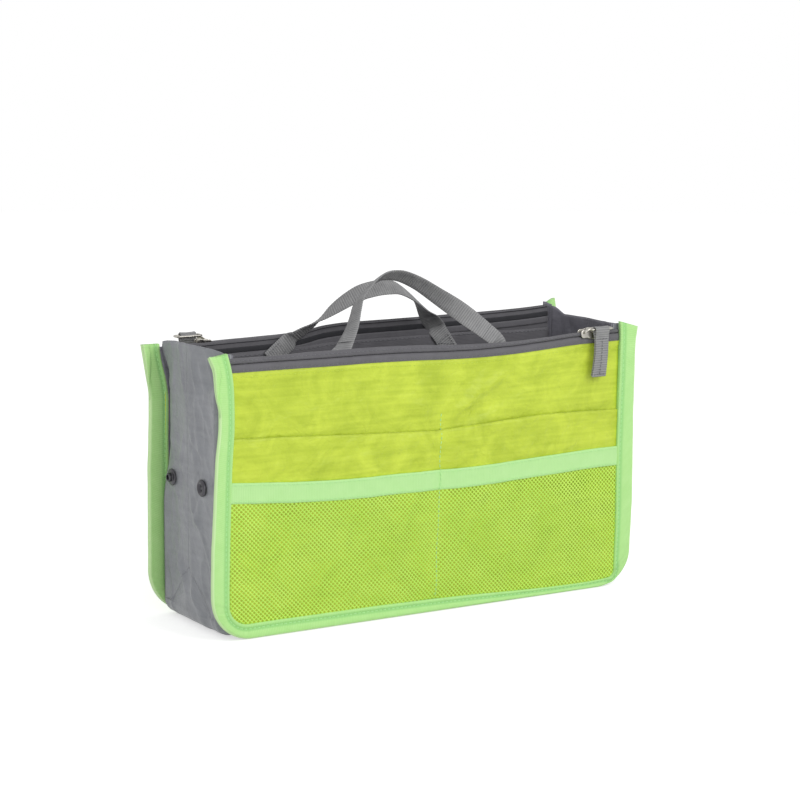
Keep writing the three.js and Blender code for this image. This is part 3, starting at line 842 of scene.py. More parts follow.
@dataclass(frozen=True)
class Drape:
    """How the layers of one wall hang: its edges' heights and its bellies, in the wall's frame."""

    top_sag: Curve
    lip: Curve
    flat_top: Curve
    band_top: Curve
    bottom_rise: Curve
    edges: tuple[SideEdge, SideEdge]
    seam_low: float
    seam_high: float
    panel_folds: tuple[Fold | Crumple, ...]
    pocket_folds: tuple[Fold | Crumple, ...]
    net_folds: tuple[Fold | Crumple, ...]

    def sag(self, x: Array, z: Array) -> Array:
        """How far the wall's cloth is lowered by the slack of its top edge."""
        return self.top_sag(x) * smooth((z - 118) / 42)

    def seam_x(self, z: Array) -> Array:
        """Place of the centre seam along the wall."""
        return self.seam_low + (self.seam_high - self.seam_low) * z / 125

    def hump(self, x: Array, z: Array) -> Array:
        """Share from 0 at the wall's sides and the centre seam to 1 between them."""
        seam = self.seam_x(z)
        left = (x + PANEL_HALF) / (seam + PANEL_HALF)
        right = (PANEL_HALF - x) / (PANEL_HALF - seam)
        share = np.clip(np.where(x < seam, left, right), 0, 1)
        return np.sin(math.pi * share) ** 0.7

    def calm(self, x: Array, z: Array, top: Array | float) -> Array:
        """Share that fades to 0 near the sewn edges."""
        sides = smooth((PANEL_HALF - 0.5 - np.abs(x)) / 10)
        return sides * smooth((z - self.floor(x, 0)) / 9) * smooth((top - z) / 7 + 0.15)

    def floor(self, x: Array, grow: float) -> Array:
        """Lower edge of the cloth that the binding frames.

        Args:
            x: Places along the wall.
            grow: How far under the binding, in mm.

        Returns:
            Heights.
        """
        tight = np.where(x < 0, *(edge.corner_radius for edge in self.edges))
        radius = tight + grow
        low = BINDING_FOOT - grow + self.bottom_rise(x)
        past = np.clip(np.abs(x) - PANEL_HALF + tight, 0, radius)
        return low + radius - np.sqrt(np.maximum(radius**2 - past**2, 0))

    def panel_depth(self, x: Array, z: Array) -> Array:
        """Depth of the lime panel's middle."""
        belly = 0.8 * np.sin(math.pi * np.clip(z / PANEL_TOP, 0, 1)) * np.cos(x / PANEL_HALF * 1.5)
        valley = 0.35 * np.exp(-(((x - self.seam_x(z)) / 5) ** 2)) * smooth((128 - z) / 10)
        return 2.9 - belly - heap(self.panel_folds, x, z) * self.calm(x, z, 158.5) + valley

    def flat_depth(self, x: Array, z: Array) -> Array:
        """Depth of the flat pocket's middle."""
        top = self.flat_top(x)
        puff = self.hump(x, z) * (0.35 + 0.65 * smooth((z - 20) / 80))
        folds = heap(self.pocket_folds, x, z) * self.calm(x, z, top + 4)
        folds = folds * (0.2 + 0.8 * smooth((z - self.band_top(x) + 1) / 5))
        folds = np.maximum(folds, -0.3)
        return self.panel_depth(x, z) - 0.85 - 1.1 * puff - folds

    def net_depth(self, x: Array, z: Array) -> Array:
        """Depth of the net's middle."""
        rise = np.clip(z / BAND_BOTTOM, 0, 1.2)
        puff = self.hump(x, z) * np.sin(math.pi * np.clip(0.12 + 0.62 * rise, 0, 1))
        folds = heap(self.net_folds, x, z) * self.calm(x, z, 96)
        return self.flat_depth(x, z) - 0.62 - 0.5 * puff - np.maximum(folds, -0.1)

    def outermost(self, x: Array, z: Array) -> Array:
        """Depth just proud of whatever layer shows at a place."""
        band_low = self.band_top(x) - POCKET_TAPE
        net = self.net_depth(x, z) - 0.35
        band = self.net_depth(x, band_low + 6) - 1.35
        flat = self.flat_depth(x, z) - 0.4
        panel = self.panel_depth(x, z) - 0.35
        shown = np.where(z > self.flat_top(x), panel, flat)
        return np.where(z < band_low, net, np.where(z < self.band_top(x), band, shown))


@dataclass
class WallWork:
    """Work that is sewn to one wall and made in that wall's own frame."""

    side: WallSide
    drape: Drape
    made: list[Piece] = field(default_factory=list)

    def dress(self, shell: Shell, name: str, finish: Finish, *nodes: str,
              body: str | None = None) -> Piece:
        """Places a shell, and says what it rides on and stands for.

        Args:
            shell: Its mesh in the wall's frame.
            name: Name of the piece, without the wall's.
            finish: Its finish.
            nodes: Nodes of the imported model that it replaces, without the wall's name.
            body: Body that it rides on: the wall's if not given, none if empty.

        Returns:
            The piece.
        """
        piece = shell.moved(self.side.world).piece(f"{self.side.value}_{name}", finish)
        rides_on = self.side.body if body is None else body
        if rides_on:
            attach(piece, rides_on)
        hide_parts(*(f"{self.side.value}_{node}" for node in nodes))
        self.made.append(piece)
        return piece

    def seam(self, path: Array, name: str, finish: Finish, way: float = -1.0,
             sizes: tuple[float, ...] = ()) -> None:
        """A row of stitches on the wall.

        Args:
            path: Places of the seam.
            name: Name of the piece.
            finish: Its thread.
            way: Direction that it faces, -1 for outside.
            sizes: Pitch, length and thickness, where they aren't the usual ones.
        """
        self.dress(stitches(path, facing(way, len(path)), *sizes), name, finish)


@dataclass
class WallCloth(WallWork):
    """The cloth of one wall: panels, pockets, net, bindings and seams."""

    columns: int = 121
    thickness: float = 0.5
    net_pitch: float = 2.8
    net_hole_share: float = 0.62

    def spread(self, half: float, rows: int, low: Curve, high: Curve) -> tuple[Array, Array]:
        """A grid of places over part of the wall.

        Args:
            half: Half of its length.
            rows: Rows of the grid.
            low, high: Heights of its lower and upper edges.

        Returns:
            Grids of x and z.
        """
        x = np.broadcast_to(np.linspace(-half, half, self.columns), (rows, self.columns))
        share = np.linspace(0, 1, rows)[:, None]
        return x.copy(), low(x) + (high(x) - low(x)) * share

    def layer(self, x: Array, z: Array, depth: Array, thick: Array | float) -> Shell:
        """A closed sheet over a grid, between two depths."""
        return slab(x, depth, z + self.drape.sag(x, z), thick, (x, z))

    def outer_panel(self) -> None:
        """The lime panel, turned over at its top."""
        drape = self.drape
        x, z = self.spread(141.5, 68, lambda at: drape.floor(at, 1.5), lambda at: 159.2 + 0 * at)
        turned = smooth((z - 155.2) / 0.8)
        thick = self.thickness + 0.5 * turned
        depth = drape.panel_depth(x, z) - 0.25 * turned
        self.dress(self.layer(x, z, depth, thick), "panel_cloth", LIME, "outer_panel")
        line = np.linspace(-139, 139, 280)
        height = np.full_like(line, 156.4)
        path = np.stack([line, drape.panel_depth(line, height) - 0.62,
                         height + drape.sag(line, height)], axis=-1)
        self.seam(path, "panel_top_seam", LIME_THREAD)

    def flat_pocket(self) -> None:
        """The lime pocket behind the net, with its turned top."""
        drape = self.drape
        x, z = self.spread(141.5, 62, lambda at: drape.floor(at, 1.5), drape.flat_top)
        turned = smooth((z - drape.flat_top(x) + 9.5) / 1.0)
        depth = drape.flat_depth(x, z) - 0.15 * turned
        shell = self.layer(x, z, depth, self.thickness + 0.3 * turned)
        self.dress(shell, "flat_pocket_cloth", LIME, "flat_pocket")

    def net(self) -> None:
        """The net as crossing cords, each a ridge with a front and a back."""
        drape, pitch = self.drape, self.net_pitch
        count = int(2 * 141 / pitch) + 2
        rows = int(90 / pitch) + 2
        centres = []
        for shift in (0.0, 0.5):
            i, j = np.meshgrid(np.arange(-count // 2, count // 2 + 1), np.arange(rows))
            centres.append(np.stack([(i.ravel() + shift) * pitch, (j.ravel() + shift) * pitch], 1))
        centre = np.concatenate(centres)
        keep = (np.abs(centre[:, 0]) < 140.8) & (centre[:, 1] < 88) & (
            centre[:, 1] > drape.floor(centre[:, 0], 0.8))
        centre = centre[keep]
        corner = np.array([[0.5, 0.0], [0.0, 0.5], [-0.5, 0.0], [0.0, -0.5]]) * pitch
        crossing = centre[:, None] + corner
        key = np.round(crossing / pitch * 2).astype(int)
        flat_key, place = np.unique(key.reshape(-1, 2), axis=0, return_inverse=True)
        place = place.reshape(-1, 4)
        nodes = flat_key * pitch / 2
        hole = (centre[:, None] + corner * self.net_hole_share).reshape(-1, 2)
        total = len(nodes)
        at = np.concatenate([nodes, nodes, hole])
        x, z = at[:, 0], at[:, 1]
        lift = np.concatenate([np.full(total, -0.2), np.full(total, 0.2), np.zeros(len(hole))])
        points = np.stack([x, drape.net_depth(x, z) + lift, z], axis=1)
        inner = np.arange(len(hole)).reshape(-1, 4) + 2 * total
        ahead, inner_ahead = np.roll(place, -1, axis=1), np.roll(inner, -1, axis=1)
        front = together(place, ahead, inner_ahead, inner).reshape(-1, 4)
        back = together(inner, inner_ahead, ahead + total, place + total).reshape(-1, 4)
        pairs = np.sort(together(place, ahead).reshape(-1, 2), axis=1)
        edges, uses = np.unique(pairs, axis=0, return_counts=True)
        border = edges[uses == 1]
        rim = np.column_stack([border, border[:, ::-1] + total])
        shell = Shell(points, [front, back, rim], np.column_stack([at, np.zeros(len(at))]))
        self.dress(shell, "net_cords", NET, "mesh_pocket")

    def band(self) -> None:
        """The mint tape folded over the net's top, with its two rows of stitches."""
        drape = self.drape
        x = np.linspace(-141.2, 141.2, 190)
        top = drape.band_top(x)
        low = top - POCKET_TAPE
        base = drape.net_depth(x, low + 6)
        section = np.array([(0.0, 0.1), (0.02, -0.55), (0.09, -0.85), (0.16, -0.78), (0.5, -1.0),
                            (0.86, -0.8), (0.93, -0.95), (0.985, -0.6), (1.0, -0.1), (0.985, 0.35),
                            (0.9, 0.5), (0.5, 0.5), (0.04, 0.45)])
        depth = base[:, None] + section[None, :, 1]
        depth += 0.12 * lattice_noise(x / 7, 0 * x, 31)[:, None]
        height = low[:, None] + (top - low)[:, None] * section[None, :, 0]
        along = np.broadcast_to(x[:, None], height.shape)
        shell = loft(together(along, depth, height), section[:, 0] * POCKET_TAPE, x)
        self.dress(shell, "pocket_tape", HEM_TAPE, "mesh_pocket_band")
        for share, name in ((0.12, "low"), (0.9, "high")):
            z = low + (top - low) * share
            path = together(x, base - 1.0, z)
            self.seam(path, f"pocket_tape_{name}_seam", MINT_THREAD)

    def centre_seam(self) -> None:
        """The seam that divides the pockets in two."""
        z = np.linspace(124, 9, 240)
        x = self.drape.seam_x(z)
        depth = self.drape.outermost(x, z)
        soft = np.convolve(np.pad(depth, 4, mode="edge"), np.ones(9) / 9, mode="valid")
        path = together(x, np.minimum(depth, soft), z)
        self.seam(path, "centre_seam", MINT_THREAD, sizes=(2.9, 2.2, 0.55))

    def side_path(self, edge: SideEdge, way: float) -> tuple[Array, Array]:
        """Outer and inner edge of the binding down one side and round the corner.

        Args:
            edge: How that side hangs.
            way: Side of the wall along x.

        Returns:
            Points of both edges in x and z, from the top down.
        """
        radius = edge.corner_radius
        centre = PANEL_HALF - radius
        low = BINDING_FOOT + float(self.drape.bottom_rise(np.array([way * centre]))[0])
        bend = WALL_CORNER
        down = np.linspace(HEIGHT, bend, 64)[:-1]
        turn = np.radians(np.linspace(0, 90, 26))
        round_out = bend - bend * np.sin(turn)
        outer_in = edge.outer_in(round_out) * np.cos(turn)
        outer = np.concatenate([
            np.column_stack([HALF_LENGTH - edge.outer_in(down), down]),
            np.column_stack([HALF_LENGTH - bend + bend * np.cos(turn) - outer_in, round_out])])
        fall = low + radius + (down - bend) * (HEIGHT - low - radius) / (HEIGHT - bend)
        round_z = low + radius - radius * np.sin(turn)
        inner_in = edge.inner_in(round_z) * np.cos(turn)
        inner = np.concatenate([
            np.column_stack([PANEL_HALF - edge.inner_in(fall), fall]),
            np.column_stack([centre + radius * np.cos(turn) - inner_in, round_z])])
        lifted = smooth((down - 150) / 20) * edge.top_tilt / 2
        rise = smooth((down - 118) / 52) * edge.top_rise
        outer[:len(down), 1] += rise - lifted
        inner[:len(down), 1] += rise + lifted
        return outer * [way, 1], inner * [way, 1]

    def binding_path(self) -> tuple[Array, Array]:
        """Outer and inner edge of the binding.

        Returns:
            Points of both edges in x and z, from the top left round to the top right.
        """
        left_outer, left_inner = self.side_path(self.drape.edges[0], -1.0)
        right_outer, right_inner = self.side_path(self.drape.edges[1], 1.0)
        share = np.linspace(0, 1, 90)[1:-1]
        flat = -126 + 252 * share
        start, end = left_inner[-1, 0], right_inner[-1, 0]
        inner_flat = start + (end - start) * share
        middle = np.column_stack([inner_flat, BINDING_FOOT + self.drape.bottom_rise(inner_flat)])
        outer = np.concatenate([left_outer, np.column_stack([flat, 0 * flat]), right_outer[::-1]])
        return outer, np.concatenate([left_inner, middle, right_inner[::-1]])

    def binding(self) -> None:
        """The mint tape folded over the wall's sides and bottom, and its stitches."""
        outer, inner = self.binding_path()
        run = run_length(outer)
        width = np.linalg.norm(inner - outer, axis=1)
        ahead = directions(outer)
        out = np.column_stack([ahead[:, 1], -ahead[:, 0]])
        wobble = 0.3 * lattice_noise(run / 17, 0 * run + 3, 11) * smooth((outer[:, 1] - 8) / 20)
        curl = -0.9 * smooth((outer[:, 1] - 140) / 30)
        corner = smooth((34 - outer[:, 1]) / 8) * smooth((np.abs(outer[:, 0]) - 118) / 8)
        pucker = corner * 0.28 * np.sin(run / 4.6 * 2 * math.pi + 1.5 * np.sin(run / 9))
        pucker += 0.14 * lattice_noise(run / 5, 0 * run, 5)
        # Each point of the section: share from the inner edge to the outer, mm on top, depth,
        # and the place across the tape that its colour goes by
        # Places across the tape from about 12 mm on, past its fold, take the painted highlight.
        section = np.array([
            (0.0, 0.0, 1.2, 0.0), (0.0, -0.1, 0.5, 0.5), (0.0, 0.35, 0.0, 1.0),
            (0.0, 1.2, -0.2, 1.8), (0.0, 2.1, 0.0, 2.4), (0.0, 2.8, 0.5, 2.8),
            (0.0, 3.6, 0.1, 3.3), (0.35, 2.4, -0.25, 6.6), (0.6, 1.2, -0.35, 8.4),
            (0.85, 0.2, -0.25, 10.4), (1.0, -0.9, -0.05, 12.6), (1.0, -0.3, 0.45, 13.4),
            (1.0, 0.0, 1.2, 14.2), (1.0, 0.05, 2.0, 14.2), (1.0, -0.3, 2.75, 13.4),
            (1.0, -0.9, 3.2, 12.6), (0.85, 0.0, 3.35, 10.4), (0.5, 1.6, 3.4, 7.0),
            (0.0, 3.6, 3.15, 3.3), (0.0, 2.8, 2.8, 2.8), (0.0, 2.1, 3.2, 2.2),
            (0.0, 0.8, 3.3, 0.8), (0.0, 0.0, 2.6, 0.2)])
        reach = section[None, :, 0] * width[:, None] + section[None, :, 1]
        reach = np.where(width[:, None] < 9, np.clip(reach, -0.1, width[:, None]), reach)
        share = reach / width[:, None]
        places = inner[:, None] + (outer - inner)[:, None] * share[..., None]
        places = places + out[:, None] * (wobble[:, None] * share**2)[..., None]
        front = section[None, :, 2] < 1.6
        bulge = pucker[:, None] * np.sin(math.pi * np.clip(share, 0.05, 1)) * np.where(front, 1, -1)
        depth = section[None, :, 2] - bulge + curl[:, None] * share**2
        shape = together(places[..., 0], depth, places[..., 1])
        self.dress(loft(shape, section[:, 3], run), "edge_tape", BINDING, "edge_binding")
        for point, name, way in ((5, "outer", -1.0), (19, "inner", 1.0)):
            path = shape[:, point].copy()
            path[:, 1] += way * 0.12
            self.seam(path, f"edge_tape_{name}_seam", MINT_THREAD, way, (3.0, 2.1, 0.5))
        for edge, way, label in zip(self.drape.edges, (-1.0, 1.0), ("left", "right")):
            if edge.ear:
                self.ear(edge, way, label)

    def ear(self, edge: SideEdge, way: float, label: str) -> None:
        """The corner of the tape's raw end, turned over and flattened beside its edge.

        Args:
            edge: How that side hangs; its ear is the flap's width, out on the back if negative.
            way: Side of the wall along x.
            label: Name of the side.
        """
        z = np.linspace(134, HEIGHT + 0.4 + edge.top_rise, 30)[:, None]
        share = np.linspace(0, 1, 7)[None, :]
        wide = abs(edge.ear) * smooth((z - 134) / 30)
        outer = HALF_LENGTH - edge.outer_in(z[:, 0])[:, None] + 0.5
        x = way * (outer - wide * share)
        bow = 0.55 * np.sin(math.pi * share) * smooth((z - 134) / 20)
        depth = -1.3 * smooth((z - 136) / 34) - 0.5 - bow + 0.35 * smooth((share - 0.8) / 0.2)
        if edge.ear < 0:
            depth = 3.6 - depth * 0.7 - 1.0 * smooth((z - 140) / 30)
        # The ear's cloth coordinate starts past the binding's fold, so its outer edge takes the
        # painted highlight.
        shell = slab(x, depth, z, 0.7, (12.4 - 4 * share, z))
        self.dress(shell, f"edge_tape_ear_{label}", BINDING)

    @staticmethod
    def lining_floor(x: Array) -> Array:
        """Lower edge of the lining."""
        past = np.clip(np.abs(x) - 133.6, 0, 9)
        return 11.6 - np.sqrt(81 - past**2)

    def lining(self) -> None:
        """The dark inner side: lining panel, lining pocket and the hem tape along its top."""
        drape = self.drape
        loose = Crumple(51, 0.25, 34, 0.3, 42, 60, 2.2)

        def calm(x: Array, z: Array, top: float) -> Array:
            """Share that fades near the lining's sewn edges."""
            return smooth((141 - np.abs(x)) / 12) * smooth((z - 6) / 14) * smooth((top - z) / 8)

        x, z = self.spread(142.2, 60, self.lining_floor, lambda at: 159.4 + 0 * at)
        x = x * (1 - 0.033 * recessed(z))
        depth = 5.4 - 0.25 * np.sin(math.pi * z / 160) + loose.at(x, z) * calm(x, z, 159) * 0.5
        self.dress(self.layer(x, z, depth, self.thickness), "lining_cloth", LINING, "inner_panel")
        x, z = self.spread(142.8, 60, self.lining_floor, lambda at: 148.5 + 0 * at)
        x = x * (1 - 0.033 * recessed(z))
        depth = 6.5 + (0.3 + loose.at(x + 200, z)) * calm(x, z, 150)
        self.dress(self.layer(x, z, depth, self.thickness), "lining_pocket_cloth", LINING,
                   "inner_pocket")
        x, z = self.spread(138.8, 9, lambda at: 146.9 + 0 * at, lambda at: 158.9 + 0 * at)
        thick = 1.2 - 0.5 * np.abs(2 * (z - 146.9) / 12 - 1) ** 4
        self.dress(self.layer(x, z, 7.2 + 0 * x, thick), "lining_hem_tape", LINING_TAPE,
                   "inner_hem")
        line = np.linspace(-138, 138, 240)
        for height, name in ((148.4, "low"), (157.4, "high")):
            z = np.full_like(line, height)
            path = together(line, 7.85 + 0 * line, z + drape.sag(line, z))
            self.seam(path, f"lining_hem_{name}_seam", GREY_THREAD, way=1.0)

    def margin(self) -> None:
        """The gusset's seam margin, which curves in to the seam behind the binding."""
        turn = np.radians(np.linspace(0, 90, 16))
        left = [(-GUSSET_HALF, z, -1.0, 0.0) for z in np.linspace(HEIGHT, CORNER_Z, 70)[:-1]]
        left += [(-CORNER_X - GUSSET_CORNER * math.cos(a), CORNER_Z - GUSSET_CORNER * math.sin(a),
                  -math.cos(a), -math.sin(a)) for a in turn]
        stations = np.array(left)
        flat = np.linspace(-CORNER_X, CORNER_X, 90)[1:-1]
        bottom = np.column_stack([flat, 0 * flat + 1.2, 0 * flat, 0 * flat - 1])
        mirror = np.array([-1.0, 1.0, -1.0, 1.0])
        path = np.concatenate([stations, bottom, stations[::-1] * mirror])
        profile = through((33.4, -0.7), (34.5, -1.1), (36, -2.3), (38, -4.4), (39.8, -6.6),
                          soften=1.2)
        across = np.linspace(33.8, 38.9, 12)
        run = run_length(path[:, :2])
        past = smooth((across[None, :] - 34) / 5)
        recess, low, over, flare, top_rise = (
            np.where(path[:, 0] < 0, *(getattr(edge, name) for edge in self.drape.edges))[:, None]
            for name in ("recess", "recess_from", "recess_over", "flare", "top_rise"))
        height = path[:, 1][:, None]
        drawn = recess * recessed(height, low, over) * (1 - flare * flared(height))
        offset = profile(across)[None, :] - 3.8 * past * recessed(height)
        offset = offset + drawn * (past - 1)
        offset = offset + 0.35 * lattice_noise(
            run[:, None] / 11, across[None, :] / 6, 77) * smooth((across[None, :] - 34.5) / 2)
        rise = top_rise * smooth((height - 118) / 52) * (0.75 + 0.25 * past)
        faces = []
        for thick in (self.thickness / 2, -self.thickness / 2):
            reach = offset + thick
            faces.append(np.stack([path[:, 0][:, None] + path[:, 2][:, None] * reach,
                                   HALF_DEPTH - across[None, :] + 0 * reach,
                                   path[:, 1][:, None] + path[:, 3][:, None] * reach + rise],
                                  axis=-1))
        weave = together(across[None, :], run[:, None])
        # The back wall's margin wears the darker lining finish as painted shade; the front wall's
        # wears the grey gusset cloth.
        cloth = LINING if self.side is WallSide.BACK else GREY
        self.dress(sheet(*faces, weave), "gusset_seam_cloth", cloth, "gusset_margin")

    def flange(self) -> None:
        """The flat edge of the seam margin, sewn under the binding's inner lip."""
        for edge, way, label in zip(self.drape.edges, (-1.0, 1.0), ("left", "right")):
            inner = self.side_path(edge, way)[1]
            z = np.linspace(46.0, inner[0, 1] - 1.5, 60)[:, None]
            lip = np.interp(z, inner[::-1, 1], inner[::-1, 0] * way) + 0.9
            share = np.linspace(0, 1, 7)[None, :]
            x = way * (lip + (135.6 - lip) * share)
            depth = 4.1 + 0.12 * lattice_noise(z / 13, share * 2, 43)
            self.dress(slab(x, depth, z, 0.24, (x, z)), f"gusset_seam_flange_{label}", LINING)

    def build(self) -> list[Piece]:
        """Makes every piece of the wall's cloth."""
        self.outer_panel()
        self.flat_pocket()
        self.net()
        self.band()
        self.centre_seam()
        self.binding()
        self.lining()
        self.margin()
        self.flange()
        return self.made


@dataclass
class PocketZip(WallWork):
    """The zip along one wall's top: two tapes, two nylon coils, stops, slider, ring and tab."""

    coil_pitch: float = 1.6
    coil_half: float = 127.7
    gap_height: float = 164.1
    slider_x: float = 115.6
    ring_wire: float = 0.7
    ring_height: float = field(kw_only=True)
    tab_x: float = 123.6
    tab_width: float = 10.6
    tab_length: float = 30.2

    def lifted(self, x: Array, depth: Array, height: Array) -> tuple[Array, Array]:
        """Depths and heights of a tape's points where the wall's lip stands up and leans in."""
        lip = self.drape.lip(x)
        standing = np.where(lip > 0, smooth((depth - 4.2) / 1.1), 1.0)
        reach = np.clip((height - self.gap_height - 1) / 3, 0, 1)
        room = np.clip((depth - 3) / 1.4, 0, 1) * np.clip((5.8 - depth) / 1.4, 0, 1)
        deeper = depth + 0.8 * smooth(lip / 3) * reach * room
        reach = reach * standing
        return deeper, height + self.drape.sag(x, height) + lip * reach

    def tape(self, profile: Sequence[tuple[float, float]]) -> Shell:
        """A tape that follows a profile in depth and height along the wall.

        Args:
            profile: Pairs of depth and height of the tape's middle.

        Returns:
            The tape's shell.
        """
        line = even_path(np.array(profile, float), 0.8)
        ahead = directions(line)
        normal = np.column_stack([ahead[:, 1], -ahead[:, 0]])
        x = np.linspace(-141.0, 141.0, 142)
        faces = []
        for thick in (-0.33, 0.33):
            edge = line + normal * thick
            depth, height = self.lifted(x[:, None], edge[None, :, 0], edge[None, :, 1])
            height = height + 0.1 * lattice_noise(x[:, None] / 23, edge[None, :, 0] / 5, 9)
            faces.append(together(np.broadcast_to(x[:, None], height.shape), depth, height))
        run = run_length(line)
        weave = together(run[None, :], x[:, None])
        return sheet(*faces, weave)

    def coil(self, height: float, way: float) -> Shell:
        """One row of the zip: a nylon thread wound into flat loops.

        Args:
            height: Height of the row's middle.
            way: Direction up or down of its teeth, which reach the other row.

        Returns:
            The coil's shell.
        """
        steps = int(2 * self.coil_half / self.coil_pitch) * 10
        turn = np.arange(steps) / 10 * 2 * math.pi
        x = -self.coil_half + turn / (2 * math.pi) * self.coil_pitch + 0.4 * way
        d = 3.9 + 0.62 * np.sin(turn)
        z = height + way * 1.15 * np.cos(turn) + self.drape.sag(x, height + 0 * x)
        return wire(together(x, d, z), 0.33, 5)

    def build(self) -> list[Piece]:
        """Makes every piece of the zip."""
        name, gap = self.side.value, self.gap_height
        outer = self.tape([(3.0, 156.5), (2.7, 159.2), (2.25, 161.3), (2.3, gap - 1.2),
                           (2.9, gap - 0.55), (3.8, gap - 0.4)])
        inner = self.tape([(3.8, gap + 0.4), (3.0, gap + 0.55), (2.5, gap + 1.3), (2.6, gap + 2.6),
                           (3.3, gap + 3.7), (4.4, gap + 4.0), (5.4, gap + 3.2), (5.8, gap + 1.0),
                           (5.75, 160.0), (5.5, 156.5)])
        self.dress(outer, "zip_outer_tape_cloth", ZIP_TAPE, "zip_outer_tape")
        self.dress(inner, "zip_inner_tape_cloth", LINING_TAPE, "zip_inner_tape")
        self.dress(self.coil(gap - 0.75, 1.0), "zip_outer_coil", COIL)
        self.dress(self.coil(gap + 0.75, -1.0), "zip_inner_coil", COIL)
        for height, label in ((160.4, "low"), (gap + 2.7, "high")):
            line = np.linspace(-138, 138, 240)
            path = together(line, *self.lifted(line, 2.0 + 0 * line, height + 0 * line))
            self.seam(path, f"zip_tape_{label}_seam", GREY_THREAD, sizes=(3.0, 2.1, 0.42))
        # The two near-black strips are painted shade: the shadow under the zip's inner flange, and
        # the thin shadow line under its lip.
        self.strip((5.0, 8.3), 6.6, ZIP_SHADE_TAPE, "zip_painted_shade_strip")
        self.strip((8.3, 12.5), 6.8, LINING_TAPE, "zip_facing_tape")
        self.strip((1.9, 2.5), 6.1, ZIP_SHADE_TAPE, "zip_lip_painted_shade_strip")
        for way, label in ((-1.0, "left"), (1.0, "right")):
            self.stop(way, label)
        self.slider(f"{name}_slider")
        self.pull_ring(f"{name}_pull_ring")
        self.pull_tab(f"{name}_pull_tab")
        return self.made

    def strip(self, drops: tuple[float, float], depth: float, finish: Finish, name: str) -> None:
        """A flat tape along the inner side, between two distances below the zip's top edge.

        Args:
            drops: Distances of its upper and lower edge.
            depth: Depth of its middle.
            finish: Its finish.
            name: Name of the piece.
        """
        x = np.linspace(-138.6, 138.6, 142)[:, None]
        share = np.linspace(0, 1, 8)[None, :]
        drop = drops[0] + (drops[1] - drops[0]) * share
        top = self.gap_height + 4.0 + self.drape.lip(x) + self.drape.sag(x, 168 + 0 * x)
        z = top - drop + 0.15 * lattice_noise(x / 19, drop / 4, 31)
        thick = 0.5 * (1 - np.abs(2 * share - 1) ** 6) + 0.06
        self.dress(slab(x, depth, z, thick, (drop, x)), name, finish)

    def stop(self, way: float, label: str) -> None:
        """The pressed metal staple that closes one end of the coils.

        Args:
            way: End of the zip along x.
            label: Name of that end.
        """
        turn = full_turn(16)
        corner = np.abs(np.cos(turn)) ** 0.5 * np.sign(np.cos(turn))
        side = np.abs(np.sin(turn)) ** 0.5 * np.sign(np.sin(turn))
        x = way * (self.coil_half + 0.6)
        height = self.gap_height + float(self.drape.sag(np.array(x), np.array(166.0)))
        rings = [np.column_stack([x + 1.1 * corner * share, 0 * turn + depth,
                                  height + 2.1 * side * share])
                 for share, depth in ((0.5, 2.75), (0.85, 2.85), (1.0, 3.2), (1.0, 4.6), (0.85, 4.9),
                                      (0.5, 5.0))]
        shell = loft(np.array(rings), turn * 1.6, np.arange(6.0))
        world_label = label if self.side is WallSide.FRONT else STOP_SWAP[label]
        self.dress(shell, f"zip_stop_{world_label}_metal", GUNMETAL, f"zip_stop_{world_label}")

    def slider(self, body: str) -> None:
        """The zip's slider: a shield-shaped plate each side of the coils, a neck and a bail."""
        outline = [(-5.2, 0.0), (-4.9, 1.7), (-3.6, 2.6), (-0.5, 2.7), (2.4, 3.4), (4.4, 3.3),
                   (5.2, 2.2), (5.3, 0.0), (5.2, -2.2), (4.4, -3.3), (2.4, -3.4), (-0.5, -2.7),
                   (-3.6, -2.6), (-4.9, -1.7)]
        flat = even_path(np.array(outline + outline[:1], float), 0.7)[:-1]
        rise = self.gap_height + 1.5
        shells = []
        # Each plate's rims: share of the outline and depth, from one face to the other
        for rims in (((0.55, 0.55), (0.86, 0.6), (0.97, 0.8), (1.0, 1.15), (0.97, 1.45), (0.9, 1.6)),
                     ((0.9, 4.85), (0.97, 4.9), (1.0, 5.05), (0.95, 5.2), (0.8, 5.25))):
            rings = [np.column_stack([self.slider_x + flat[:, 0] * share,
                                      depth + 0.12 * flat[:, 1] * share, rise + flat[:, 1] * share])
                     for share, depth in rims]
            shells.append(loft(np.array(rings), np.arange(len(flat)) * 0.7,
                               np.arange(len(rims)) * 1.0))
        neck = [np.column_stack([self.slider_x + 3.2 + 1.3 * np.cos(a), 0 * a + depth,
                                 rise + 1.0 + 0.5 * np.sin(a)])
                for a in [full_turn(14)] for depth in (1.3, 5.0)]
        shells.append(loft(np.array(neck), np.arange(14) * 0.5, np.arange(2.0)))
        arch = np.array([(-3.4, 0.7, 1.0), (-3.2, -0.3, 1.6), (-2.0, -1.0, 2.7), (0.2, -1.2, 3.5),
                         (2.4, -0.9, 2.8), (3.6, -0.2, 1.8), (3.8, 0.7, 1.0)])
        path = even_path(arch + [self.slider_x, 0.0, rise], 0.4)
        turn = full_turn(12)
        section = np.column_stack([0.45 * np.cos(turn), 1.0 * np.sin(turn)])
        ahead = directions(path)
        side = unit(np.cross(ahead, [0.0, 0.6, 0.8]))
        other = np.cross(ahead, side)
        bail = (path[:, None] + section[None, :, :1] * side[:, None]
                + section[None, :, 1:] * other[:, None])
        shells.append(loft(bail, turn, run_length(path)))
        self.dress(shells[0].plus(*shells[1:]), "zip_slider_metal", NICKEL, "zip_slider", body=body)

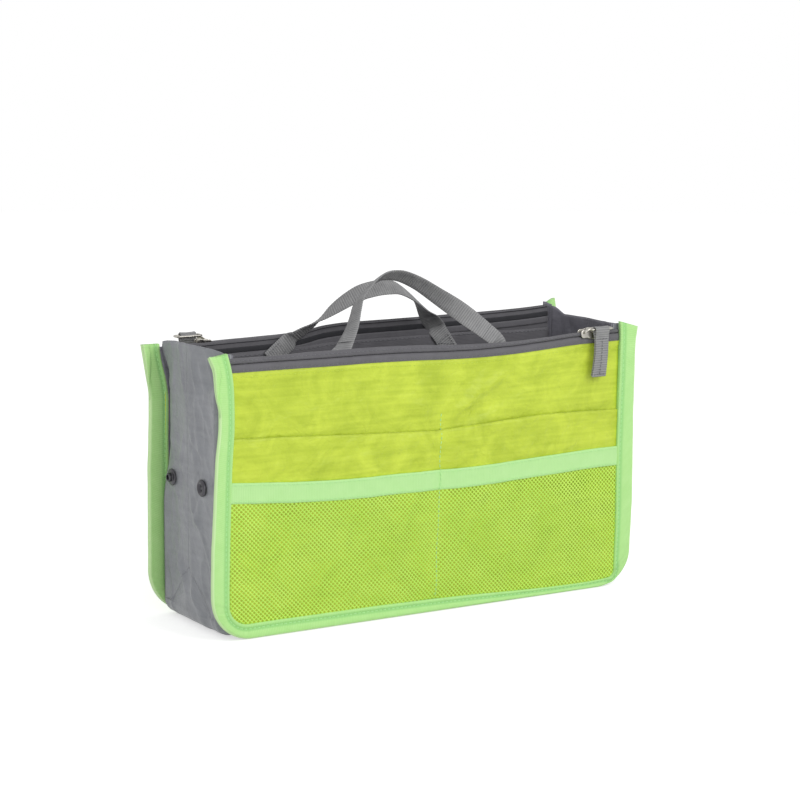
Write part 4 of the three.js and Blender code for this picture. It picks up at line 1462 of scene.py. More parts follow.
    def pull_ring(self, body: str) -> None:
        """The wire ring that the tab hangs on."""
        corners = [(116.4, -2.1), (133.0, -2.1), (133.0, 4.2), (116.4, 4.2)]
        centre = np.mean(corners, axis=0)
        path = []
        for x, d in corners:
            heart = np.array([x, d]) - np.sign(np.array([x, d]) - centre) * 1.8
            toward = math.atan2(d - centre[1], x - centre[0])
            middle = round((toward - math.pi / 4) / (math.pi / 2)) * math.pi / 2 + math.pi / 4
            for step in np.linspace(-math.pi / 4, math.pi / 4, 7):
                path.append([heart[0] + 1.8 * math.cos(middle + step),
                             heart[1] + 1.8 * math.sin(middle + step), self.ring_height])
        shell = wire(np.array(path), self.ring_wire, 14, ring=True)
        piece = self.dress(shell, "pull_wire_ring", NICKEL, "pull_ring", body="")
        self.bend(piece, body.replace("pull_ring", "slider"), body, (116.8, 1.15, 0.0),
                  (119.4, 1.15, 0.0))

    def tab_middle(self, drop: Array) -> Array:
        """Place along the wall of the tab's middle, by the share of its length."""
        return self.tab_x - 1.8 * drop**1.4 + 0.5 * np.sin(drop * 3)

    def pull_tab(self, body: str) -> None:
        """The webbing tab, looped over the ring and sewn to itself."""
        ring_d, ring_z = -2.1, self.ring_height
        path = [(ring_d - 0.62, ring_z - self.tab_length)]
        path += [(ring_d - 0.62, ring_z - z) for z in (28.0, 20.0, 12.0, 6.0)]
        path += [(ring_d - 1.55, ring_z - 1.2)]
        path += [(ring_d - 1.62 * math.cos(a), ring_z + 1.62 * math.sin(a))
                 for a in np.radians([20, 60, 100, 140])]
        path += [(ring_d + 1.55, ring_z - 1.2)]
        path += [(ring_d + 0.62, ring_z - z) for z in (6.0, 12.0, 20.0, 28.0, self.tab_length - 0.6)]
        line = even_path(np.array(path), 0.5)
        ahead = directions(line)
        drop = np.clip((ring_z - line[:, 1]) / self.tab_length, 0, 1)
        curl = -0.5 * np.sin(drop * math.pi)
        centre = together(self.tab_middle(drop), line[:, 0] + curl, line[:, 1])
        normal = together(0 * drop, ahead[:, 1], -ahead[:, 0])
        across = np.tile([1.0, 0.0, 0.0], (len(line), 1))
        across *= (1 - 0.07 * np.sin(math.pi * drop))[:, None]
        shell = webbing(centre, across, normal, self.tab_width)
        piece = self.dress(shell, "pull_webbing_tab", WEBBING, "pull_tab", body="")
        rows = []
        for a, b in (((0, -7), (0, -28)), ((-4.6, -28.6), (4.6, -28.6)), ((-4.6, -6), (4.6, -6))):
            share = np.linspace(0, 1, 20)[:, None]
            flat = np.array(a) * (1 - share) + np.array(b) * share
            fall = -flat[:, 1] / self.tab_length
            d = ring_d - 1.25 - 0.5 * np.sin(fall * math.pi)
            rows.append(stitches(
                together(self.tab_middle(fall) + flat[:, 0], d, ring_z + flat[:, 1]),
                facing(-1.0, 20), 2.2, 1.7, 0.45))
        seam = self.dress(rows[0].plus(*rows[1:]), "pull_tab_seam", GREY_THREAD, body="")
        for part in (piece, seam):
            self.bend(part, body.replace("tab", "ring"), body, (self.tab_x, -2.1, -2.5),
                      (self.tab_x, -2.1, -10.0))

    def bend(self, piece: Piece, near: str, far: str,
             start: tuple[float, float, float], end: tuple[float, float, float]) -> None:
        """Bakes the ring's or tab's placement into its mesh, and hangs it on no body.

        Args:
            piece: The ring or a piece of the tab.
            near, far: Not used.
            start, end: Places in the wall's frame, heights from the ring's, where the bend is.
        """
        places = self.side.world(np.array([start, end]) + [0, 0, self.ring_height]) * MM
        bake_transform(piece)


def hung(shell: Shell, name: str, finish: Finish, body: str, *nodes: str) -> Piece:
    """Makes a piece of the bag's frame that rides on one body.

    Args:
        shell: Its mesh.
        name: Name of the piece.
        finish: Its finish.
        body: Body that it rides on.
        nodes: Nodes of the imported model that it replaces.

    Returns:
        The piece.
    """
    piece = shell.piece(name, finish)
    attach(piece, body)
    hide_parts(*nodes)
    return piece


def webbing(centre: Array, across: Array, normal: Array, width: float) -> Shell:
    """A strap of ribbed webbing.

    Args:
        centre: Points of its middle line.
        across: Direction of its width at each point.
        normal: Direction of its thickness at each point.
        width: Its width in mm.

    Returns:
        The strap, 1 mm thick, with rounded edges and ribs.
    """
    section = np.array([(-0.5, -0.2), (-0.475, -0.45), (-0.25, -0.5), (0.0, -0.5), (0.25, -0.5),
                        (0.475, -0.45), (0.5, -0.2), (0.5, 0.2), (0.475, 0.45), (0.25, 0.5),
                        (0.0, 0.5), (-0.25, 0.5), (-0.475, 0.45), (-0.5, 0.2)])
    run = run_length(centre)
    rise = 1 + 0.16 * np.cos(run / WEBBING_RIB * 2 * math.pi)
    bow = 0.035 * width * (1 - (2 * section[:, 0]) ** 2)
    points = (centre[:, None] + across[:, None] * (section[None, :, :1] * width)
              + normal[:, None] * (section[None, :, 1:] * rise[:, None, None]
                                   + bow[None, :, None]))
    girth = np.where(section[:, 1] < 0, section[:, 0], -section[:, 0] + 1.1) * width
    return loft(points, girth, run)


# Handles


@dataclass
class Handle:
    """One handle: webbing sewn inside the wall, which twists as it arches over the bag."""

    side: WallSide
    lean: float
    route: tuple[tuple[float, float], ...]
    turns: tuple[tuple[float, float], ...]
    feet: tuple[tuple[float, float], tuple[float, float]]
    split: float = 5.0
    made: list[Piece] = field(default_factory=list)

    def place(self, x: Array, rise: Array) -> Array:
        """Points on the plane in which the handle leans."""
        sign, angle = self.side.sign, math.radians(self.lean)
        return np.stack([x, sign * (STRAP_HALF - rise * math.sin(angle)),
                         HANDLE_HINGE + rise * math.cos(angle)], axis=-1)

    def out(self) -> Array:
        """Direction square to that plane, towards the inside of the bag."""
        angle = math.radians(self.lean)
        return np.array([0.0, -self.side.sign * math.cos(angle), -math.sin(angle)])

    def stations(self) -> tuple[Array, Array, Array, Array]:
        """Centres, width directions, thickness directions and rises along the whole strap."""
        flat = even_path(np.array(self.route, float), 0.4)
        centre = self.place(flat[:, 0], flat[:, 1])
        ahead = directions(centre)
        level = unit(np.cross(ahead, self.out()))
        share = run_length(centre)
        share /= share[-1]
        knots = np.array(self.turns, float)
        turn = np.radians(through(*[tuple(k) for k in knots], soften=0.06)(share))
        across = level * np.cos(turn)[:, None] + self.out() * np.sin(turn)[:, None]
        normal = unit(np.cross(ahead, across))
        return centre, across, normal, flat[:, 1]

    def build(self) -> list[Piece]:
        """Makes the arch and its two feet."""
        name, angle, sign = self.side.value, math.radians(self.lean), self.side.sign
        centre, across, normal, rise = self.stations()
        above = np.flatnonzero(rise >= self.split)
        first, last = above[0], above[-1]
        arch = webbing(centre[first:last + 1], across[first:last + 1], normal[first:last + 1],
                       WEBBING_WIDTH).piece(f"{name}_handle_webbing", WEBBING)
        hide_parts(f"{name}_handle", f"{name}_handle_link_left",
                    f"{name}_handle_link_right")
        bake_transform(arch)
        self.made.append(arch)
        ends = (("left", slice(first, None, -1), self.feet[0]),
                ("right", slice(last, None), self.feet[1]))
        if self.side is WallSide.BACK:
            ends = (("right", ends[0][1], ends[0][2]), ("left", ends[1][1], ends[1][2]))
        for label, part, foot in ends:
            self.foot(label, centre[part], across[part], rise[part], foot)
        return self.made

    def foot(self, label: str, centre: Array, across: Array, rise: Array,
             foot: tuple[float, float]) -> None:
        """The strap's end, from the split down to where it is sewn to the wall's inner side.

        Args:
            label: Name of that end.
            centre, across, rise: The strap's stations from the split downwards.
            foot: Place along the bag and height of the sewn end.
        """
        name, sign = self.side.value, self.side.sign
        level = np.flatnonzero(rise <= 0)
        stop = level[0] if len(level) else len(rise)
        start = centre[stop - 1]
        lower_x, lower_z = foot
        steps = np.linspace(0, 1, 50)[1:, None]
        below = np.array([lower_x, sign * STRAP_HALF, lower_z])
        bend = start + (start - centre[max(stop - 12, 0)]) * 0.5
        sewn = (1 - steps) ** 2 * start + 2 * steps * (1 - steps) * bend + steps**2 * below
        sewn[:, 1] = start[1] + (sign * STRAP_HALF - start[1]) * smooth(steps[:, 0] * 2.5)
        run = unit(below - start)
        flat = unit(np.cross(run, [0.0, 1.0, 0.0]))
        if float(flat @ across[stop - 1]) < 0:
            flat = -flat
        ease = smooth(steps[:, 0] * 2)[:, None]
        wide = unit(across[stop - 1] * (1 - ease) + flat * ease)
        path = np.concatenate([centre[:stop], sewn])
        width = np.concatenate([across[:stop], wide])
        ahead = directions(path)
        width = unit(width - ahead * np.sum(width * ahead, axis=1, keepdims=True))
        thick = unit(np.cross(ahead, width))
        shell = webbing(path, width, thick, WEBBING_WIDTH)
        piece = shell.piece(f"{name}_handle_foot_{label}", WEBBING)
        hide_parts(f"{name}_handle_end_{label}")
        self.side.body
        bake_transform(piece)
        self.made.append(piece)
        box = np.array([(-4.2, 3), (4.2, 3), (4.2, 11), (-4.2, 11), (-4.2, 3), (4.2, 11)])
        share = np.linspace(0, 1, 12)[None, :, None]
        flat_points = (box[:-1, None] * (1 - share) + box[1:, None] * share).reshape(-1, 2)
        up_run = -run if run[2] < 0 else run
        base = below + flat * flat_points[:, :1] + up_run * flat_points[:, 1:]
        base[:, 1] = sign * (STRAP_HALF - 0.78)
        rows = stitches(base, facing(-sign, len(base)), 2.4, 1.8, 0.45)
        seam = rows.piece(f"{name}_handle_foot_{label}_seam", GREY_THREAD)
        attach(seam, self.side.body)
        self.made.append(seam)


# Gusset, base and snaps


class End(Enum):
    """The two ends of the bag."""

    LEFT = "left"
    RIGHT = "right"

    @property
    def sign(self) -> float:
        """Side of the bag along X."""
        return -1.0 if self is End.LEFT else 1.0


@dataclass
class FoldingEnd:
    """One end of the bag: the gusset's two halves and the soft corner below them."""

    end: End
    seed: int
    top_hump: float
    tuck: float
    corner_rise: float
    flare: float
    thickness: float = 0.5
    front_profile: Curve = through((0, -0.5), (4, -0.7), (10, -1.3), (18, -2.3), (24, -2.5),
                                   (30, -1.6), (33.9, -0.8), (36, -1.6), soften=2.0)
    rear_profile: Curve = through((0, -0.5), (4, -0.7), (10, -1.4), (20, -2.4), (28, -2.4),
                                  (31, -1.8), (33.9, -0.8), (36, -1.6), soften=2.0)
    recess: Curve = through((0, 0.0), (20, 0.0), (25, -0.3), (28, -1.0), (31, -2.8), (33.9, -5.2),
                            soften=1.5)
    made: list[Piece] = field(default_factory=list)

    def bulge(self, y: Array, z: Array) -> Array:
        """How far the cloth stands out of the gusset's plane.

        Args:
            y, z: Places on the gusset in the bag's frame.

        Returns:
            Heights in mm, 0 on the crease.
        """
        away = np.abs(y)
        free = smooth(away / 7) * smooth((FOLD_HALF - away) / 8)
        loose = (Crumple(self.seed, 0.5, 26, 0.8, 26, 78, 2.2),
                 Crumple(self.seed + 9, 0.22, 8, 0.45, 15, 70, 2.4),
                 Fold((26.5, 55), (-2.3, 17.6), 2.2, 1.3), Fold((17, 44.5), (-22, 3.5), 2.0, 1.2),
                 Fold((-0.5, 115), (-21, 101), 2.0, -1.1), Fold((-16, 84), (-6, 60), 2.2, 0.9),
                 Fold((-3, 128), (-9, 96), 1.8, 0.8), Fold((-8, 126), (-20, 96), 2.0, 0.8),
                 Fold((-12, 166), (-20, 140), 1.8, 1.0), Fold((-20, 168), (-27, 146), 1.8, 0.9),
                 Fold((20, 84), (8, 62), 2.2, 0.8), Fold((6, 120), (14, 78), 2.4, 0.7))
        drawn = recessed(z) * (1 - self.flare * flared(z))
        rear = self.rear_profile(away) + self.recess(away) * drawn
        profile = np.where(y < 0, self.front_profile(away), rear)
        height = profile * smooth((z - 4) / 10) + heap(loose, y, z) * free
        tuck = np.where(y < 0, smooth((z - (131.5 + 0.55 * away)) / 7), 0)
        deep = self.tuck * np.minimum(away, 33.5) + self.front_profile(away)
        height = height - tuck * np.maximum(deep, 0)
        if not self.linked(-1.0):
            height = height + np.where(y < 0, 0.6 * smooth((away - 27) / 5), 0)
        pinch = np.maximum(*(smooth(1.35 - np.hypot(y - at, z - SNAP_HEIGHT) / 9)
                             for at in (-SNAP_AWAY, SNAP_AWAY)))
        return height * (1 - pinch) - 0.4 * pinch

    def top(self, y: Array) -> Array:
        """Height of the gusset's upper edge."""
        hump = np.sqrt(np.clip(1 - (y / 34.5) ** 2, 0, 1))
        return HEIGHT - 1.0 + self.top_hump * hump + self.corner_rise * smooth((y - 24) / 10)

    def linked(self, way: float) -> bool:
        """Whether one joint links that half to its wall: all but the right end's front half."""
        return way > 0 or self.end is End.LEFT

    def hang(self, piece: Piece, body: str, way: float) -> None:
        """Hangs a half on its body where no joint links it to its wall; a linked half only has its
        placement baked into its mesh.

        Args:
            piece: The half's cloth, or its inner layer, whose darker lining finish is painted shade.
            body: Body of that half.
            way: Side of the bag along Y.
        """
        if not self.linked(way):
            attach(piece, body)
            return
        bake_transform(piece)

    def half(self, label: str, way: float) -> None:
        """One half of the gusset, from the crease to the hinge on its wall.

        Args:
            label: Name of the half.
            way: Side of the bag along Y.
        """
        away = np.linspace(0, FOLD_HALF if self.linked(way) else 33.1, 40)
        low = 11.5 + np.clip(25.9 - away, 0, None)
        top = self.top(way * away)
        share = np.linspace(0, 1, 90)[:, None]
        z = low[None, :] + (top - low)[None, :] * share
        y = np.broadcast_to(way * away, z.shape)
        height = self.bulge(y, z)
        thick = self.thickness / 2
        sign = self.end.sign
        outer, middle, inner = (together(sign * (GUSSET_HALF + height + out), y, z)
                                for out in (thick, 0.0, -thick))
        body = f"{self.end.value}_gusset_{label}"
        weave = together(y, z)
        # The inner layer wears the darker lining finish as painted shade, for the shade that falls
        # inside the bag.
        layers = ((sheet(outer, middle, weave), "cloth", GREY),
                  (sheet(middle, inner, weave), "lining", LINING))
        for shell, name, finish in layers:
            piece = shell.piece(f"{body}_{name}", finish)
            self.hang(piece, body, way)
            if name == "cloth":
                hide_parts(body)
            self.made.append(piece)

    def corner(self) -> None:
        """The soft corner between the gusset and the base."""
        y = np.linspace(-33.8, 33.8, 61)
        reach = np.clip(26.1 - np.abs(y), 0.4, None)
        rows = []
        for share in np.linspace(1, 0, 18)[:-1]:
            z = CORNER_Z + reach * share
            rows.append((GUSSET_HALF + self.bulge(y, z), z, 1.0 + 0 * y, 0 * y))
        edge = self.bulge(y, CORNER_Z + 0 * y)
        floor = base_height(y)
        for angle in np.radians(np.linspace(0, 90, 12)):
            c, s = math.cos(angle), math.sin(angle)
            rows.append((CORNER_X + (GUSSET_CORNER + edge) * c, CORNER_Z - (CORNER_Z - floor) * s,
                         c + 0 * y, -s + 0 * y))
        for share in np.linspace(0, 1, 18)[1:]:
            rows.append((CORNER_X - reach * share, floor, 0 * y, -1.0 + 0 * y))
        grid = np.array(rows)
        sign, half = self.end.sign, self.thickness / 2
        faces = []
        for thick in (half, -half):
            faces.append(np.stack([sign * (grid[:, 0] + thick * grid[:, 2]),
                                   np.broadcast_to(y, grid[:, 0].shape),
                                   grid[:, 1] + thick * grid[:, 3]], axis=-1))
        run = np.cumsum(np.abs(np.diff(grid[:, 1, 30], prepend=grid[0, 1, 30])) + 0.5)
        weave = together(y[None, :], -run[:, None])
        piece = hung(sheet(*faces, weave), f"{self.end.value}_corner_cloth", GREY, "root",
                     f"{self.end.value}_corner_patch")
        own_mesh(piece)
        self.made.append(piece)

    def build(self) -> list[Piece]:
        """Makes both halves, the corner and the snaps."""
        for label, way in HALVES:
            self.half(label, way)
        self.corner()
        for label, way in HALVES:
            self.snap(label, way)
        return self.made

    def snap(self, label: str, way: float) -> None:
        """The cap inside and the socket or stud outside of one snap.

        Args:
            label: Name of the gusset's half.
            way: Side of the bag along Y.
        """
        body = f"{self.end.value}_gusset_{label}"
        cap = [(0, -2.1), (3.4, -2.1), (4.6, -1.95), (5.1, -1.6), (5.2, -1.3), (5.2, -1.1),
               (1.2, -1.1), (1.2, 1.1), (0.6, 1.2), (0, 1.2)]
        if label == "front":
            mate_kind = "socket"
            mate = [(1.6, 0.3), (5.0, 0.3), (5.2, 0.5), (5.2, 0.9), (5.0, 1.3), (4.5, 1.8),
                    (4.0, 2.05), (3.4, 2.1), (2.9, 2.0), (2.55, 1.7), (2.2, 1.2), (1.7, 1.0),
                    (1.6, 0.8)]
        else:
            mate_kind = "stud"
            mate = [(1.6, 0.3), (5.0, 0.3), (5.2, 0.5), (5.1, 0.85), (4.4, 1.15), (3.4, 1.2),
                    (2.7, 1.25), (2.6, 1.6), (2.65, 2.6), (2.5, 3.2), (2.1, 3.5), (1.7, 3.5),
                    (1.6, 3.3)]
        for profile, kind in ((cap, "cap"), (mate, mate_kind)):
            node = f"{self.end.value}_{label}_snap_{kind}"
            shell = self.turned(profile, way * SNAP_AWAY, closed=kind == "cap")
            self.made.append(hung(shell, f"{node}_metal", GUNMETAL, body, node))

    def turned(self, profile: Sequence[tuple[float, float]], y: float, closed: bool) -> Shell:
        """A shell turned about a snap's axis.

        Args:
            profile: Pairs of radius and height over the gusset's outer face.
            y: Place of the snap.
            closed: Whether the profile starts and ends on the axis.

        Returns:
            The shell.
        """
        sides = 40
        angle = full_turn(sides)
        line = np.array(profile, float)
        radius = np.maximum(line[:, 0], 0.02)
        rings = np.stack([
            np.broadcast_to((self.end.sign * (GUSSET_HALF + line[:, 1]))[:, None],
                            (len(line), sides)),
            y + radius[:, None] * np.cos(angle)[None, :],
            SNAP_HEIGHT + radius[:, None] * np.sin(angle)[None, :]], axis=-1)
        return loft(rings, angle * 4, run_length(line), ring=not closed)


def base_height(y: Array) -> Array:
    """Height of the base's cloth, by the distance from its crease."""
    return through((0, 1.5), (6, 1.45), (20, 1.4), (29, 1.5), (33.9, 2.0), soften=3.0)(np.abs(y))


@dataclass
class FoldingBase:
    """The base: two halves with a crease between them."""

    thickness: float = 0.5
    made: list[Piece] = field(default_factory=list)

    def build(self) -> list[Piece]:
        """Makes both halves."""
        for label, way in HALVES:
            away = np.linspace(0, 33.95, 30)
            reach = 136.4 - np.clip(25.9 - away, 0, None)
            share = np.linspace(-1, 1, 110)[:, None]
            x = reach[None, :] * share
            y = np.broadcast_to(way * away, x.shape)
            loose = Crumple(71, 0.16, 30, 0.2, 36, 15, 2.0)
            calm = smooth(away / 6) * smooth((FOLD_HALF - away) / 7)
            z = base_height(y) + loose.at(x, y) * calm
            half = self.thickness / 2
            shell = sheet(together(x, y, z - half), together(x, y, z + half),
                          together(x, y))
            node = f"base_{label}"
            self.made.append(hung(shell, f"{node}_cloth", GREY, node, node))
        return self.made


# Studio


@dataclass
class Studio:
    """Floor, light and camera."""

    azimuth: float = -31.62
    elevation: float = 9.2
    roll: float = 0.22
    distance: float = 1500.3
    lens: float = 108.0
    target: tuple[float, float, float] = (1.72, 0.0, 126.64)

    def build(self) -> None:
        """Makes the studio round the bag."""
        self.floor()
        self.world()
        self.lamp("key", (0.55, -1.8, 1.35), 1.0, 17.0)
        self.lamp("fill", (-1.0, -1.7, 0.7), 0.8, 7.0)
        self.camera()

    def floor(self) -> None:
        """A round sheet of paper under the bag."""
        reach, drop = 3.0, 0.0004
        turn = full_turn(48)
        rim = [(reach * math.cos(a), reach * math.sin(a), -drop) for a in turn]
        mesh = bpy.data.meshes.new("paper_floor")
        mesh.from_pydata(rim, [], [tuple(range(len(rim)))])
        mesh.materials.append(PAPER.material())
        paper = bpy.data.objects.new("paper_floor", mesh)
        bpy.context.scene.collection.objects.link(paper)

    def world(self) -> None:
        """Even light from all round, white where it is seen."""
        world = bpy.data.worlds.new("studio")
        bpy.context.scene.world = world
        world.use_nodes = True
        tree = world.node_tree
        tree.nodes.clear()
        light = add_node(tree, "Background", inputs={
            "Color": linear("#ffffff"), "Strength": 0.62})
        white = add_node(tree, "Background", inputs={
            "Color": linear("#ffffff"), "Strength": 1.0})
        both = add_node(tree, "MixShader", inputs={
            0: seen_as_background(tree), 1: light.outputs[0], 2: white.outputs[0]})
        add_node(tree, "OutputWorld", inputs={"Surface": both.outputs[0]})

    def lamp(self, name: str, place: tuple[float, float, float], size: float,
             power: float) -> None:
        """A square soft light that faces the bag."""
        light = bpy.data.lights.new(name, "AREA")
        light.size = size
        light.energy = power
        thing = bpy.data.objects.new(name, light)
        thing.location = place
        aim = Vector((0, 0, 0.09)) - Vector(place)
        thing.rotation_euler = aim.to_track_quat("-Z", "Y").to_euler()
        bpy.context.scene.collection.objects.link(thing)

    def camera(self) -> None:
        """The photograph's camera."""
        turn, lift = math.radians(self.azimuth), math.radians(self.elevation)
        back = Vector((math.sin(turn) * math.cos(lift), -math.cos(turn) * math.cos(lift),
                       math.sin(lift)))
        camera = bpy.data.cameras.new("camera")
        camera.lens = self.lens
        camera.sensor_width = 36.0
        camera.clip_end = 20.0
        thing = bpy.data.objects.new("camera", camera)
        right = Vector((math.cos(turn), math.sin(turn), 0.0))
        up = back.cross(right)
        frame = Matrix((right, up, back)).transposed().to_4x4()
        spin = Matrix.Rotation(math.radians(self.roll), 4, "Z")
        place = (Vector(self.target) + back * self.distance) * MM
        thing.matrix_world = Matrix.Translation(place) @ frame @ spin
        bpy.context.scene.collection.objects.link(thing)
        bpy.context.scene.camera = thing


# The bag


def front_drape() -> Drape:
    """The front wall's hang, as the photograph shows it."""
    return Drape(
        top_sag=through((-140, 0), (-105, -0.3), (-66, -0.9), (-45, -0.8), (-10, -1.7), (10, -2.7),
                        (33, -3.2), (59, -2.9), (81, -1.8), (97, -0.8), (106, -0.2), (125, 0),
                        (140, 0.3), soften=12),
        lip=through((-140, -0.9), (-104, -0.9), (-88, 0), (-10, 0), (25, -0.7), (60, -1.6),
                    (90, -2.0), (140, -1.8), soften=12),
        flat_top=through((-140, 120.5), (-114, 119.6), (-91, 118.4), (-62, 116.6), (-32, 115.1),
                         (-7, 114.0), (5, 113.2), (17, 114.4), (42, 115.4), (77, 117.0),
                         (112, 116.4), (140, 115.2), soften=10),
        band_top=through((-140, 95.0), (-115, 93.0), (-91, 91.2), (-62, 89.8), (-32, 89.6),
                         (-7, 89.2), (18, 88.8), (31, 88.8), (65, 89.9), (101, 91.0), (125, 91.6),
                         (140, 91.2), soften=12),
        bottom_rise=through((-140, 0.8), (-110, 1.2), (-80, 0.9), (-44, 0.8), (0, 0), (32, -1.0),
                            (67, -2.6), (102, -3.6), (126, -3.6), (140, -2.0), soften=14),
        edges=(SideEdge(through((0, 1.0), (28, 1.6), (51, 2.0), (75, 3.4), (97, 4.6), (109, 5.4),
                                (118, 6.5), (127, 7.6), (138, 7.7), (144, 5.7), (150, 4.8),
                                (162, 4.0), (168, 1.2), (171, -0.4), soften=4),
                        through((0, -1.0), (30, -1.0), (60, -0.3), (101, 1.3), (113, 2.1),
                                (125, 3.1), (137, 3.2), (149, 3.0), (158, 2.1), (165, 0.5),
                                (171, -1.7), soften=5), 12.0, top_tilt=2.0, ear=4.4,
                        recess=7.2, recess_from=149.0, recess_over=8.0),
               SideEdge(through((0, 0.5), (14, 1.0), (27, 2.8), (40, 1.9), (54, 1.2), (80, 1.3),
                                (110, 1.5), (140, 1.0), (162, 1.0), (171, -0.5), soften=6),
                        through((0, 0.8), (15, 0.8), (42, 0), (83, 0.2), (120, -0.3), (140, -0.8),
                                (163, -1.1), (171, -0.5), soften=6), 6.0, top_tilt=4.0)),
        seam_low=1.8, seam_high=6.3,
        panel_folds=(Crumple(3, 0.6, 34, 0.8, 40, 35, 2.0),
                     Fold((8, 118), (60, 152), 3.6, 2.1), Fold((14, 114), (98, 150), 5.0, -1.4),
                     Fold((20, 121), (44, 156), 3.0, 1.5), Fold((2, 122), (-34, 141), 3.6, 1.4),
                     Fold((-6, 120), (-12, 152), 4.0, 0.7), Fold((-60, 126), (-20, 150), 5.0, 0.7)),
        pocket_folds=(Crumple(14, 0.3, 30, 0.5, 24, 20, 1.6),
                      Fold((8, 109), (58, 99), 2.4, 1.2), Fold((10, 104), (44, 92), 2.4, 1.1),
                      Fold((-2, 110), (-62, 100), 2.6, 1.1), Fold((6, 112), (78, 112), 2.4, 0.8),
                      *(Fold((x, 113.5), (x + 4, 106.5), 1.5, 0.8) for x in range(-66, 0, 7)),
                      *(Fold((x, 115), (x - 3, 108), 1.5, 0.6) for x in (66, 76, 84, 95, 108)),
                      Crumple(19, 0.6, 9, 0.8, 11, 80, 1.3)),
        net_folds=(Fold((2, 8), (-60, 52), 4.0, 1.2), Fold((2, 8), (-96, 30), 5.0, 1.0),
                   Fold((2, 10), (44, 60), 4.0, 0.9), Fold((3, 12), (18, 70), 3.6, 0.6),
                   Fold((2, 8), (76, 34), 4.6, 0.6), Fold((-4, 20), (-18, 72), 4.0, 0.5),
                   Crumple(27, 0.2, 36, 0.2, 40, 50, 1.8)),
    )


def back_drape() -> Drape:
    """The back wall's hang, guessed to be like the front's and a little calmer."""
    return Drape(
        top_sag=through((-140, 0.7), (-120, 0.5), (-106, 0.7), (-85, 1.9), (-33, 2.2), (20, 2.2),
                        (34, 1.6), (48, 0.4), (64, -0.4), (100, -1.0), (115, -1.4), (140, -1.8),
                        soften=8),
        lip=through((-140, 6.7), (-120, 5.8), (-106, 5.2), (-85, 3.6), (-33, 2.9), (20, 2.8),
                    (34, 2.4), (43, 1.2), (50, 0.6), (60, 0.3), (70, 0), (140, 0), soften=6),
        flat_top=through((-140, 116.4), (-80, 116.0), (-5, 114.0), (60, 115.6), (140, 117.2),
                         soften=12),
        band_top=through((-140, 91.6), (-60, 90.2), (0, 89.2), (70, 90.2), (140, 92.4), soften=12),
        bottom_rise=through((-140, 0), (0, -0.6), (140, 0), soften=14),
        edges=(SideEdge(through((0, 0.5), (60, 1.0), (110, 1.6), (150, 2.5), (171, 6.2), soften=6),
                        through((0, 0.0), (171, 0.3), soften=8), 12.0, top_tilt=-3.0,
                        top_rise=6.6, recess=5.2),
               SideEdge(through((0, 0.4), (40, 0.5), (90, 0.9), (120, 2.0), (138, 2.3), (147, 0.8),
                                (157, -0.4), (171, -2.6), soften=5),
                        through((0, 0.0), (110, 0.8), (136, 1.2), (148, -0.5), (160, -3.4),
                                (171, -5.0), soften=5), 12.0, top_rise=-2.6, ear=-4.4,
                        recess=5.2, flare=1.0)),
        seam_low=-1.0, seam_high=1.5,
        panel_folds=(Crumple(103, 0.25, 42, 0.25, 46, -30, 2.0),
                     Fold((-6, 118), (-56, 150), 5.0, 0.8), Fold((10, 120), (52, 148), 5.0, 0.6)),
        pocket_folds=(Crumple(114, 0.2, 30, 0.3, 24, -20, 1.6),
                      Fold((-6, 108), (-60, 98), 3.2, 0.6), Fold((6, 108), (52, 96), 3.2, 0.6),
                      Crumple(119, 0.22, 8, 0.3, 10, 80, 1.3)),
        net_folds=(Fold((0, 8), (-70, 46), 4.4, 0.8), Fold((0, 10), (58, 54), 4.4, 0.8),
                   Fold((-2, 12), (-24, 70), 4.0, 0.5), Crumple(127, 0.2, 36, 0.2, 40, -50, 1.8)),
    )


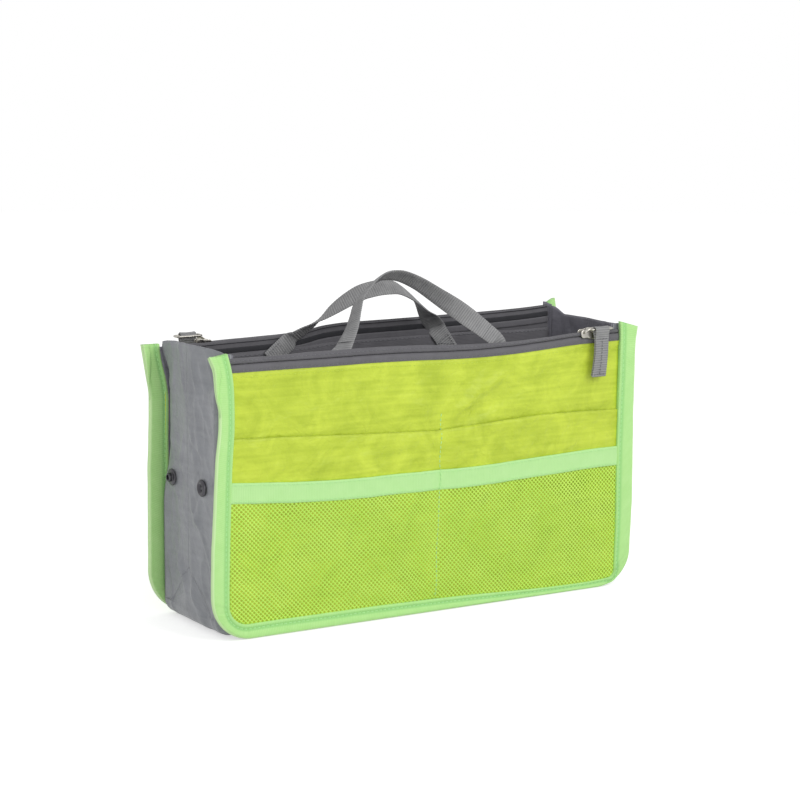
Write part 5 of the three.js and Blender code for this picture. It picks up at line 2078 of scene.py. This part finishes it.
# Each handle's route as places along the bag and rises up its leaning plane, in mm, and its turns
# as shares of its length and degrees
FRONT_ROUTE = ((-60.9, -1.2), (-49.0, 13.4), (-42.0, 24.6), (-37.0, 32.5), (-27.4, 40.8),
               (-21.0, 45.2), (-14.0, 48.2), (-7.0, 48.6), (0.0, 46.9), (9.1, 41.4), (18.9, 32.6),
               (29.5, 22.8), (37.5, 14.6), (45.0, 6.4), (51.5, -1.2))
FRONT_TURNS = ((0.0, 46.0), (0.09, 62.0), (0.2, 80.0), (0.35, 84.0), (0.5, 90.0), (0.62, 98.0),
               (0.72, 112.0), (0.82, 140.0), (0.9, 165.0), (1.0, 178.0))
BACK_ROUTE = ((-58.5, -2.6), (-52.0, 4.0), (-46.5, 9.4), (-41.3, 16.4), (-35.9, 23.6),
              (-29.0, 31.3), (-21.5, 37.4), (-12.3, 40.4), (-4.0, 41.0), (4.0, 39.6),
              (15.8, 32.4), (27.0, 23.0), (34.0, 16.0), (42.0, 7.4), (50.0, -1.2))
BACK_TURNS = ((0.0, 0.0), (0.06, -8.0), (0.12, -22.0), (0.17, -40.0), (0.21, -60.0),
              (0.26, -72.0), (0.32, -83.0), (0.4, -92.0), (0.5, -94.0), (0.65, -82.0),
              (0.78, -72.0), (0.83, -58.0), (0.88, -32.0), (0.92, -12.0), (1.0, -6.0))
RING_HEIGHTS = {WallSide.FRONT: 168.4, WallSide.BACK: 170.8}


def report(label: str, pieces: Sequence[Piece]) -> None:
    """Logs what a sub-assembly made."""
    LOG.info("%s: %d pieces, %d faces", label, len(pieces),
             sum(len(piece.data.polygons) for piece in pieces))


def main() -> None:
    """Builds the bag round its frame."""
    logging.basicConfig(level=logging.INFO, format="%(message)s", stream=sys.stdout)
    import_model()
    bpy.context.scene.view_settings.view_transform = "Standard"
    Studio().build()
    for side, drape in ((WallSide.FRONT, front_drape()), (WallSide.BACK, back_drape())):
        report(f"{side.value} wall", WallCloth(side, drape).build())
        pocket_zip = PocketZip(side, drape, ring_height=RING_HEIGHTS[side])
        report(f"{side.value} zip", pocket_zip.build())
    front = Handle(WallSide.FRONT, 34.48, FRONT_ROUTE, FRONT_TURNS, ((-61.0, 147.4), (58.5, 147.4)))
    back = Handle(WallSide.BACK, 40.39, BACK_ROUTE, BACK_TURNS, ((-72.5, 153.0), (61.0, 149.0)))
    report("front handle", front.build())
    report("back handle", back.build())
    for gusset in (FoldingEnd(End.LEFT, 201, 3.4, 0.23, 0.0, 1.0),
                   FoldingEnd(End.RIGHT, 307, 0.3, 0.0, 5.0, 0.0)):
        report(f"{gusset.end.value} gusset", gusset.build())
    report("base", FoldingBase().build())


if __name__ == "__main__":
    main()
